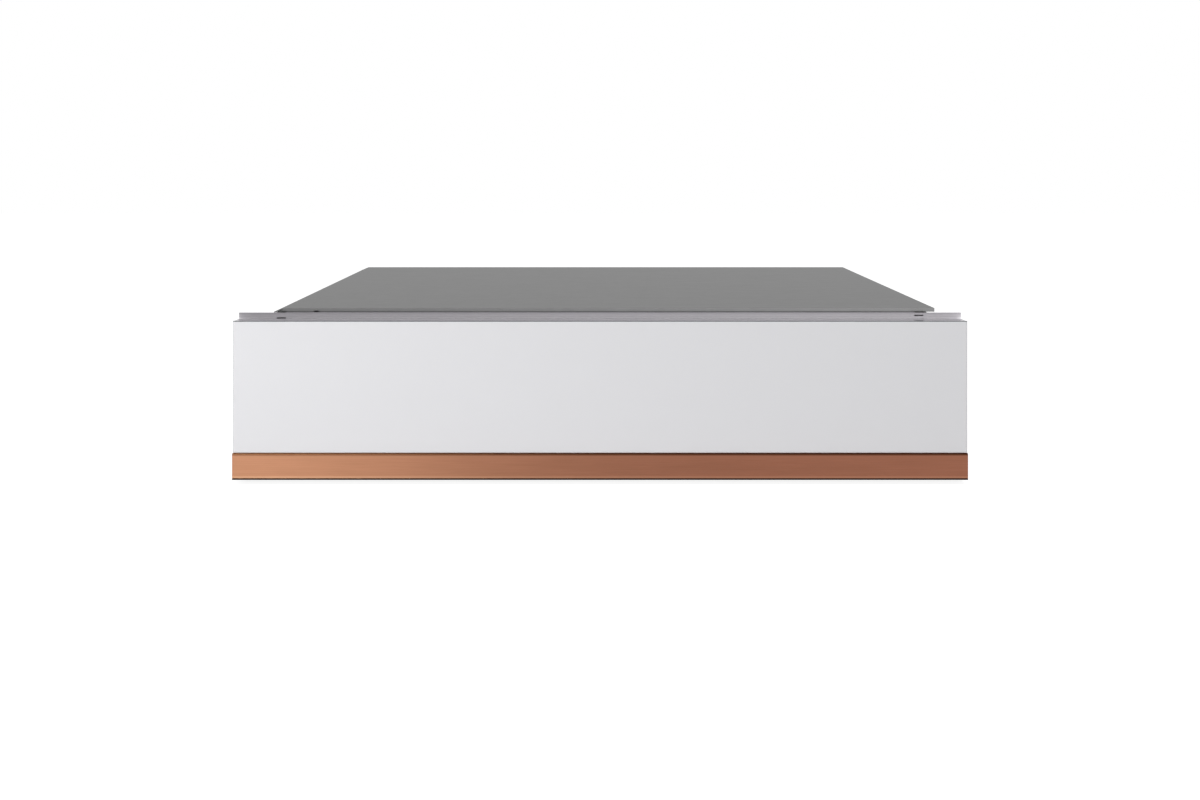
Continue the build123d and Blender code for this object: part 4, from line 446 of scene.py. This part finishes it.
GRIT_MM = 0.8
cast, tree, surface, position = start("die-cast aluminium, blasted", {"Metallic": 0.9, "Roughness": 0.5})
grit = add(tree, "TexNoise", {"Scale": 1000 / GRIT_MM, "Detail": 5.0, "Roughness": 0.7}, {"Vector": position})
cast_tone = add(tree, "Mix", {"data_type": "RGBA", 6: linear("#9a9b9d"), 7: linear("#b3b4b6")},
                {0: grit.outputs["Fac"]})
cast_bump = add(tree, "Bump", {"Strength": 0.4, "Distance": 0.0001}, {"Height": grit.outputs["Fac"]})
tree.links.new(cast_tone.outputs[2], surface.inputs["Base Color"])
tree.links.new(cast_bump.outputs["Normal"], surface.inputs["Normal"])
keep("cast_aluminium", cast)

# %% [markdown]
# ## Plastics, rubber and enamel
# Moulded polyamide and acetal have a fine eroded texture from their tools, rubber and silicone
# are duller, and enamel on cast iron has an orange peel of about 2 mm. One loop makes them
# all: a base colour that varies a little, a roughness, and a bump as wide as the real grain.

# %% Moulded and enamelled finishes
plain_finishes = {      # name, dark and pale tone, roughness, grain in millimetres, height in metres
    "black_plastic": ("moulded polyamide, black", "#1b1b1d", "#232325", 0.48, 0.5, 0.00004),
    "grey_plastic": ("moulded acetal, grey", "#8f9092", "#999a9c", 0.42, 0.6, 0.00003),
    "black_rubber": ("moulded rubber", "#17171a", "#222225", 0.72, 0.9, 0.00006),
    "grey_silicone": ("moulded silicone, grey", "#7b7d80", "#858789", 0.55, 1.2, 0.00003),
    "red_silicone": ("extruded silicone, red", "#93352a", "#a03d30", 0.5, 1.2, 0.00003),
    "motor_paint": ("enamelled cast iron, dark grey", "#33373b", "#3d4146", 0.38, 2.2, 0.00008),
}
for slot_name, (name, dark, pale, roughness, grain_mm, bump_height) in plain_finishes.items():
    material, tree, surface, position = start(name, {"Roughness": roughness})
    grain = add(tree, "TexNoise", {"Scale": 1000 / grain_mm, "Detail": 3.0, "Roughness": 0.6},
                {"Vector": position})
    colour = add(tree, "Mix", {"data_type": "RGBA", 6: linear(dark), 7: linear(pale)},
                 {0: grain.outputs["Fac"]})
    bump = add(tree, "Bump", {"Strength": 0.5, "Distance": bump_height}, {"Height": grain.outputs["Fac"]})
    tree.links.new(colour.outputs[2], surface.inputs["Base Color"])
    tree.links.new(bump.outputs["Normal"], surface.inputs["Normal"])
    keep(slot_name, material)

# %% [markdown]
# ## Clear and black glass
# The lid is toughened glass with a grey tint, which one can look through into the chamber. The
# control strip is glass with black paint behind it, like the front but dark. Its paint varies
# by a trace over about 4 mm, which keeps so dark a sheet from looking like a hole.

# %% Glass of the lid and of the control strip
lid_finish, tree, surface, position = start("toughened glass, grey tint", {
    "Base Color": linear("#c3cac9"), "Roughness": 0.02, "IOR": 1.52, "Transmission Weight": 1.0})
keep("tinted_glass", lid_finish)

CLOUDS_PER_METRE = 260.0
black_glass, tree, surface, position = start("glass with black paint behind", {
    "Roughness": 0.05, "IOR": 1.52, "Coat Weight": 0.4, "Coat Roughness": 0.02})
clouds = add(tree, "TexNoise", {"Scale": CLOUDS_PER_METRE, "Detail": 6.0}, {"Vector": position})
black_tone = add(tree, "Mix", {"data_type": "RGBA", 6: linear("#0d0d0f"), 7: linear("#131316")},
                 {0: clouds.outputs["Fac"]})
tree.links.new(black_tone.outputs[2], surface.inputs["Base Color"])
keep("black_glass", black_glass)

# %% [markdown]
# ## Electrical parts
# The circuit boards are glass cloth in epoxy under a green solder mask, with copper tracks a
# little raised beneath it, drawn as fields 7 mm long in rows 2.6 mm apart. The transformer's
# core is a stack of thin sheets, so its sides show fine lines, drawn 2.4 mm apart, because
# single sheets of half a millimetre don't show. The heating strip is glass cloth with PTFE,
# woven from threads 0.5 mm apart.

# %% Circuit board
FIELDS_PER_METRE = 140
board, tree, surface, position = start("circuit board with green solder mask", {"Roughness": 0.35})
fields = add(tree, "Mapping", {"Scale": [FIELDS_PER_METRE] * 3}, {"Vector": position})
tracks = add(tree, "TexBrick", {"Scale": 1.0, "Mortar Size": 0.09, "Mortar Smooth": 0.1,
                                "Brick Width": 1.0, "Row Height": 0.36, "Color1": linear("#14532f"),
                                "Color2": linear("#185c35"), "Mortar": linear("#2c7d49")},
             {"Vector": fields.outputs["Vector"]})
tree.links.new(tracks.outputs["Color"], surface.inputs["Base Color"])
track_bump = add(tree, "Bump", {"Strength": 0.4, "Distance": 0.00005}, {"Height": tracks.outputs["Fac"]})
tree.links.new(track_bump.outputs["Normal"], surface.inputs["Normal"])
keep("circuit_board", board)

# %% Core and heater cloth
LINE_PITCH_MM, THREAD_MM = 2.3686, 0.5
WAVE_PERIOD = math.tau / 20                 # a wave texture of scale 1 repeats after this length
core, tree, surface, position = start("laminated electrical steel", {"Metallic": 0.6, "Roughness": 0.5})
sheets = add(tree, "TexWave", {"bands_direction": "Y", "Scale": WAVE_PERIOD * 1000 / LINE_PITCH_MM,
                               "Distortion": 0.4}, {"Vector": position})
core_tone = add(tree, "Mix", {"data_type": "RGBA", 6: linear("#4c4a49"), 7: linear("#6d6a68")},
                {0: sheets.outputs["Fac"]})
tree.links.new(core_tone.outputs[2], surface.inputs["Base Color"])
keep("core_steel", core)

cloth, tree, surface, position = start("glass cloth coated with PTFE", {"Roughness": 0.5})
weave = add(tree, "Mapping", {"Scale": [1000 / THREAD_MM] * 3}, {"Vector": position})
threads = add(tree, "TexChecker", {"Scale": 1.0, "Color1": linear("#a77d54"), "Color2": linear("#97704a")},
              {"Vector": weave.outputs["Vector"]})
tree.links.new(threads.outputs["Color"], surface.inputs["Base Color"])
keep("heater_cloth", cloth)

# %% [markdown]
# ## Give every piece its finish
# The record that came with the CAD model names a material slot for every piece, such as
# stainless or bright_steel. Each piece gets the finish of its slot. Its mesh isn't touched.

# %% Finishes by slot
slot_of = {part["node"]: part["material_slot"] for part in frame["record"]["subparts"]}
for name, node in nodes.items():
    node.data.materials.clear()
    node.data.materials.append(finishes[slot_of[name]])
print(len(set(slot_of.values())), "finishes on", len(nodes), "pieces")

# %% [markdown]
# ## Fasteners
# A CAD model leaves most fasteners out. Here are those that show on the real one: self-tapping
# screws with a six-lobed recess, blind rivets that hold the runners, and the small craters of
# spot welds along the sheet's edges. Each kind is shaped once, in millimetres and pointing up,
# and then copied to its places and turned to the surface that it sits on.

# %% Helpers for small pieces
UP, DOWN, REAR = (0, 0, 1), (0, 0, -1), (0, 1, 0)
SIDES = (-1, 1)


def at(x, y, z, direction):
    """Where a shape that is drawn in millimetres goes, and which way its top points."""
    turn = Vector(direction).to_track_quat("Z", "Y").to_matrix().to_4x4()
    return Matrix.Translation(Vector((x, y, z)) * MM) @ turn @ Matrix.Scale(MM, 4)


def verts_of(geometry):
    """The vertices among what an operator returns."""
    return [element for element in geometry if isinstance(element, bmesh.types.BMVert)]


def set_out(shape, places):
    """Copies the shape to every place, and takes the first one away."""
    first = shape.verts[:] + shape.edges[:] + shape.faces[:]
    pattern = shape.verts[:]
    for place in places:
        copied = bmesh.ops.duplicate(shape, geom=first)["geom"]
        bmesh.ops.transform(shape, matrix=place, verts=verts_of(copied))
    bmesh.ops.delete(shape, geom=pattern, context="VERTS")


def finish_piece(name, shape, body, slot_name):
    """Makes an object of the shape, which rides on a body and has the finish of a slot."""
    bmesh.ops.recalc_face_normals(shape, faces=shape.faces)
    mesh = bpy.data.meshes.new(name)
    shape.to_mesh(mesh)
    open_edges = sum(not edge.is_manifold for edge in shape.edges)
    shape.free()
    piece = bpy.data.objects.new(name, mesh)
    scene.collection.objects.link(piece)
    mesh.materials.append(finishes[slot_name])
    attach(piece, body)
    print(name, len(mesh.polygons), "faces,", open_edges, "open edges")


half_housing = reach("housing_shell", "X")[1]
deck_top, rear_cover_top = reach("deck", "Z")[1], reach("rear_cover", "Z")[1]
print("sides at", half_housing, "deck at", deck_top, "rear cover at", rear_cover_top, "mm")

# %% [markdown]
# Two shapes start nearly all of them. A turned shape is an outline of radius and height that
# spins round the upright axis, as on a lathe. A disc is a circle pulled up a little, whose top
# face is then inset and raised or sunk.

# %% Turned shapes and discs
MERGED_MM = 0.001


def turned(outline, segments):
    """A turned shape from the radius and height of the points of its outline."""
    shape = bmesh.new()
    points = [shape.verts.new((radius, 0, height)) for radius, height in outline]
    edges = [shape.edges.new(pair) for pair in zip(points, points[1:])]
    bmesh.ops.spin(shape, geom=points + edges, cent=(0, 0, 0), axis=UP, angle=math.tau,
                   steps=segments, use_merge=True)
    bmesh.ops.remove_doubles(shape, verts=shape.verts, dist=MERGED_MM)
    return shape


def disc(radius, segments, height):
    """A low disc and its top face, to be inset and extruded further."""
    shape = bmesh.new()
    bmesh.ops.create_circle(shape, cap_ends=True, radius=radius, segments=segments)
    top = bmesh.ops.extrude_face_region(shape, geom=shape.faces[:])["geom"]
    bmesh.ops.translate(shape, vec=(0, 0, height), verts=verts_of(top))
    return shape, next(face for face in top if isinstance(face, bmesh.types.BMFace))


# %% Screws with a six-lobed recess
HEAD_SEGMENTS = 24
LOBES = (1.0, 0.86, 0.72, 0.86)             # the recess's radius, repeated round the head
# Each step goes inwards by a share of the radius and upwards by a share of the height.
SHOULDER, CROWN, RIM, RECESS = (0.12, 0.3), (0.2, 0.2), (0.2, 0.0), (0.02, -0.7)


def screw_head(radius, height):
    """A pan head with a rounded shoulder and a star-shaped recess."""
    shape, top = disc(radius, HEAD_SEGMENTS, 0.5 * height)
    for inwards, upwards in (SHOULDER, CROWN, RIM):
        bmesh.ops.inset_individual(shape, faces=[top], thickness=inwards * radius, depth=upwards * height)
    for number, vert in enumerate(top.verts):
        vert.co.xy *= LOBES[number % len(LOBES)]
    inwards, upwards = RECESS
    bmesh.ops.inset_individual(shape, faces=[top], thickness=inwards * radius, depth=upwards * height)
    return shape


side_screws = screw_head(3.4, 2.0)
side_rows, side_heights = (-232.0, 256.0), (15.0, 122.0)
set_out(side_screws, [at(side * half_housing, y, z, (side, 0, 0))
                      for side in SIDES for y in side_rows for z in side_heights])
finish_piece("side_screws", side_screws, "housing", "bright_steel")

screw_x = 246
deck_screws = screw_head(3.0, 0.8)
set_out(deck_screws, [at(side * screw_x, y, deck_top, UP) for side in SIDES for y in (-205, -100, 5, 92)])
finish_piece("deck_screws", deck_screws, "drawer", "bright_steel")

cover_screws = screw_head(3.4, 2.0)
set_out(cover_screws, [at(x, y, rear_cover_top, UP) for x in (-screw_x, 0, screw_x) for y in (112, 200)])
finish_piece("rear_cover_screws", cover_screws, "drawer", "bright_steel")

# %% Blind rivets
RIVET = [(0, 0), (3.3, 0), (3.3, 0.2), (2.7, 0.8), (1.7, 1.1), (1.1, 1.0), (0.9, 0.6), (0, 0.6)]
rivet_rows = (-215, -110, -5, 100, 195)
runner_middle = sum(reach("runner_outer_left", "Z")) / 2
rivets = turned(RIVET, 20)
set_out(rivets, [at(side * half_housing, y, runner_middle, (side, 0, 0))
                 for side in SIDES for y in rivet_rows])
finish_piece("runner_rivets", rivets, "housing", "cast_aluminium")

# %% Spot welds
WELD_RADIUS, WELD_STEP = 2.4, 0.5
BURNT_RIM, CRATER = 0.1, -0.09              # how far the rim stands up and the crater sinks in
welds, crater = disc(WELD_RADIUS, 16, 0.04)
for depth in (BURNT_RIM, CRATER):
    bmesh.ops.inset_individual(welds, faces=[crater], thickness=WELD_STEP, depth=depth)
along_floor = [(y, 7.0) for y in range(-215, 240, 35)]
along_front = [(-236.0, z) for z in range(35, 110, 18)]
set_out(welds, [at(side * half_housing, y, z, (side, 0, 0))
                for side in SIDES for y, z in along_floor + along_front])
finish_piece("spot_welds", welds, "housing", "galvanised_sheet")

# %% [markdown]
# ## Bonding stud
# Beside the mains inlet a threaded stud with a washer and a nut takes the earth wire. The
# thread is turned as a row of ridges, which at this size nobody can tell from a helix.

# %% Stud, washer and nut
PITCH, STUD_LENGTH, CORE_RADIUS, THREAD_RADIUS = 0.8, 6.0, 2.1, 2.5
WASHER = [(2.6, 0), (5.0, 0), (5.0, 0.9), (4.8, 1.0), (2.6, 1.0), (2.6, 0)]
NUT_RADIUS, NUT_HEIGHT, WASHER_HEIGHT = 4.6, 3.2, 1.0
stud_place = at(150.0, reach("rear_panel", "Y")[1], 30.0, REAR)
outline = [(0, 0), (CORE_RADIUS, 0)]
for ridge in range(int(STUD_LENGTH / PITCH)):
    outline += [(THREAD_RADIUS, (ridge + 0.5) * PITCH), (CORE_RADIUS, (ridge + 1) * PITCH)]
stud = turned(outline + [(1.7, STUD_LENGTH), (0, STUD_LENGTH)], 20)
set_out(stud, [stud_place])
finish_piece("bonding_stud", stud, "housing", "bright_steel")

washer = turned(WASHER, 24)
set_out(washer, [stud_place])
finish_piece("bonding_washer", washer, "housing", "bright_steel")

nut, nut_top = disc(NUT_RADIUS, 6, NUT_HEIGHT)
bmesh.ops.inset_individual(nut, faces=[nut_top], thickness=0.5, depth=0.3)
set_out(nut, [stud_place @ Matrix.Translation((0, 0, WASHER_HEIGHT))])
finish_piece("bonding_nut", nut, "housing", "bright_steel")

# %% [markdown]
# ## On the lid and the control strip
# Small silicone stops under the lid keep glass off steel when it falls shut. The control strip
# has its marks printed on the glass: a ring round each touch pad, one to four dots in it for
# the level, and three dots in the middle. They are plain signs without letters, and as print
# is too thin to model, they stand up by only 0.06 mm.

# %% Stops under the lid
STOP = [(0, 0), (4.4, 0), (4.4, 0.8), (3.8, 3.4), (3.2, 4.0), (0, 4.0)]
lid_low = reach("lid_glass", "Z")[0]
stops = turned(STOP, 20)
set_out(stops, [at(side * 238, y, lid_low, DOWN) for side in SIDES for y in (-203, -70)])
finish_piece("lid_stops", stops, "lid", "grey_silicone")

# %% Marks on the control strip
PRINT = 0.06
RING_INNER, RING_OUTER, DOT_RADIUS, DOT_STEP = 3.85, 4.25, 0.5, 1.5
control_top = reach("control_glass", "Z")[1]
control_middle = sum(reach("control_glass", "Y")) / 2
pads = [centre + step for centre in (-62, 62) for step in (-33, -11, 11, 33)]
ring_outline = [(RING_INNER, 0), (RING_OUTER, 0), (RING_OUTER, PRINT), (RING_INNER, PRINT), (RING_INNER, 0)]
rings = turned(ring_outline, 32)
set_out(rings, [at(x, control_middle, control_top, UP) for x in pads])
finish_piece("touch_rings", rings, "drawer", "grey_plastic")

LEVELS = 4
dot_places = []
for number, x in enumerate(pads):
    last_dot = number % LEVELS
    dot_places += [at(x + (dot - last_dot / 2) * DOT_STEP, control_middle, control_top, UP)
                   for dot in range(last_dot + 1)]
dot_places += [at(x, control_middle + 9.0, control_top, UP) for x in (-4, 0, 4)]
dots = disc(DOT_RADIUS, 12, PRINT)[0]
set_out(dots, dot_places)
finish_piece("touch_dots", dots, "drawer", "grey_plastic")
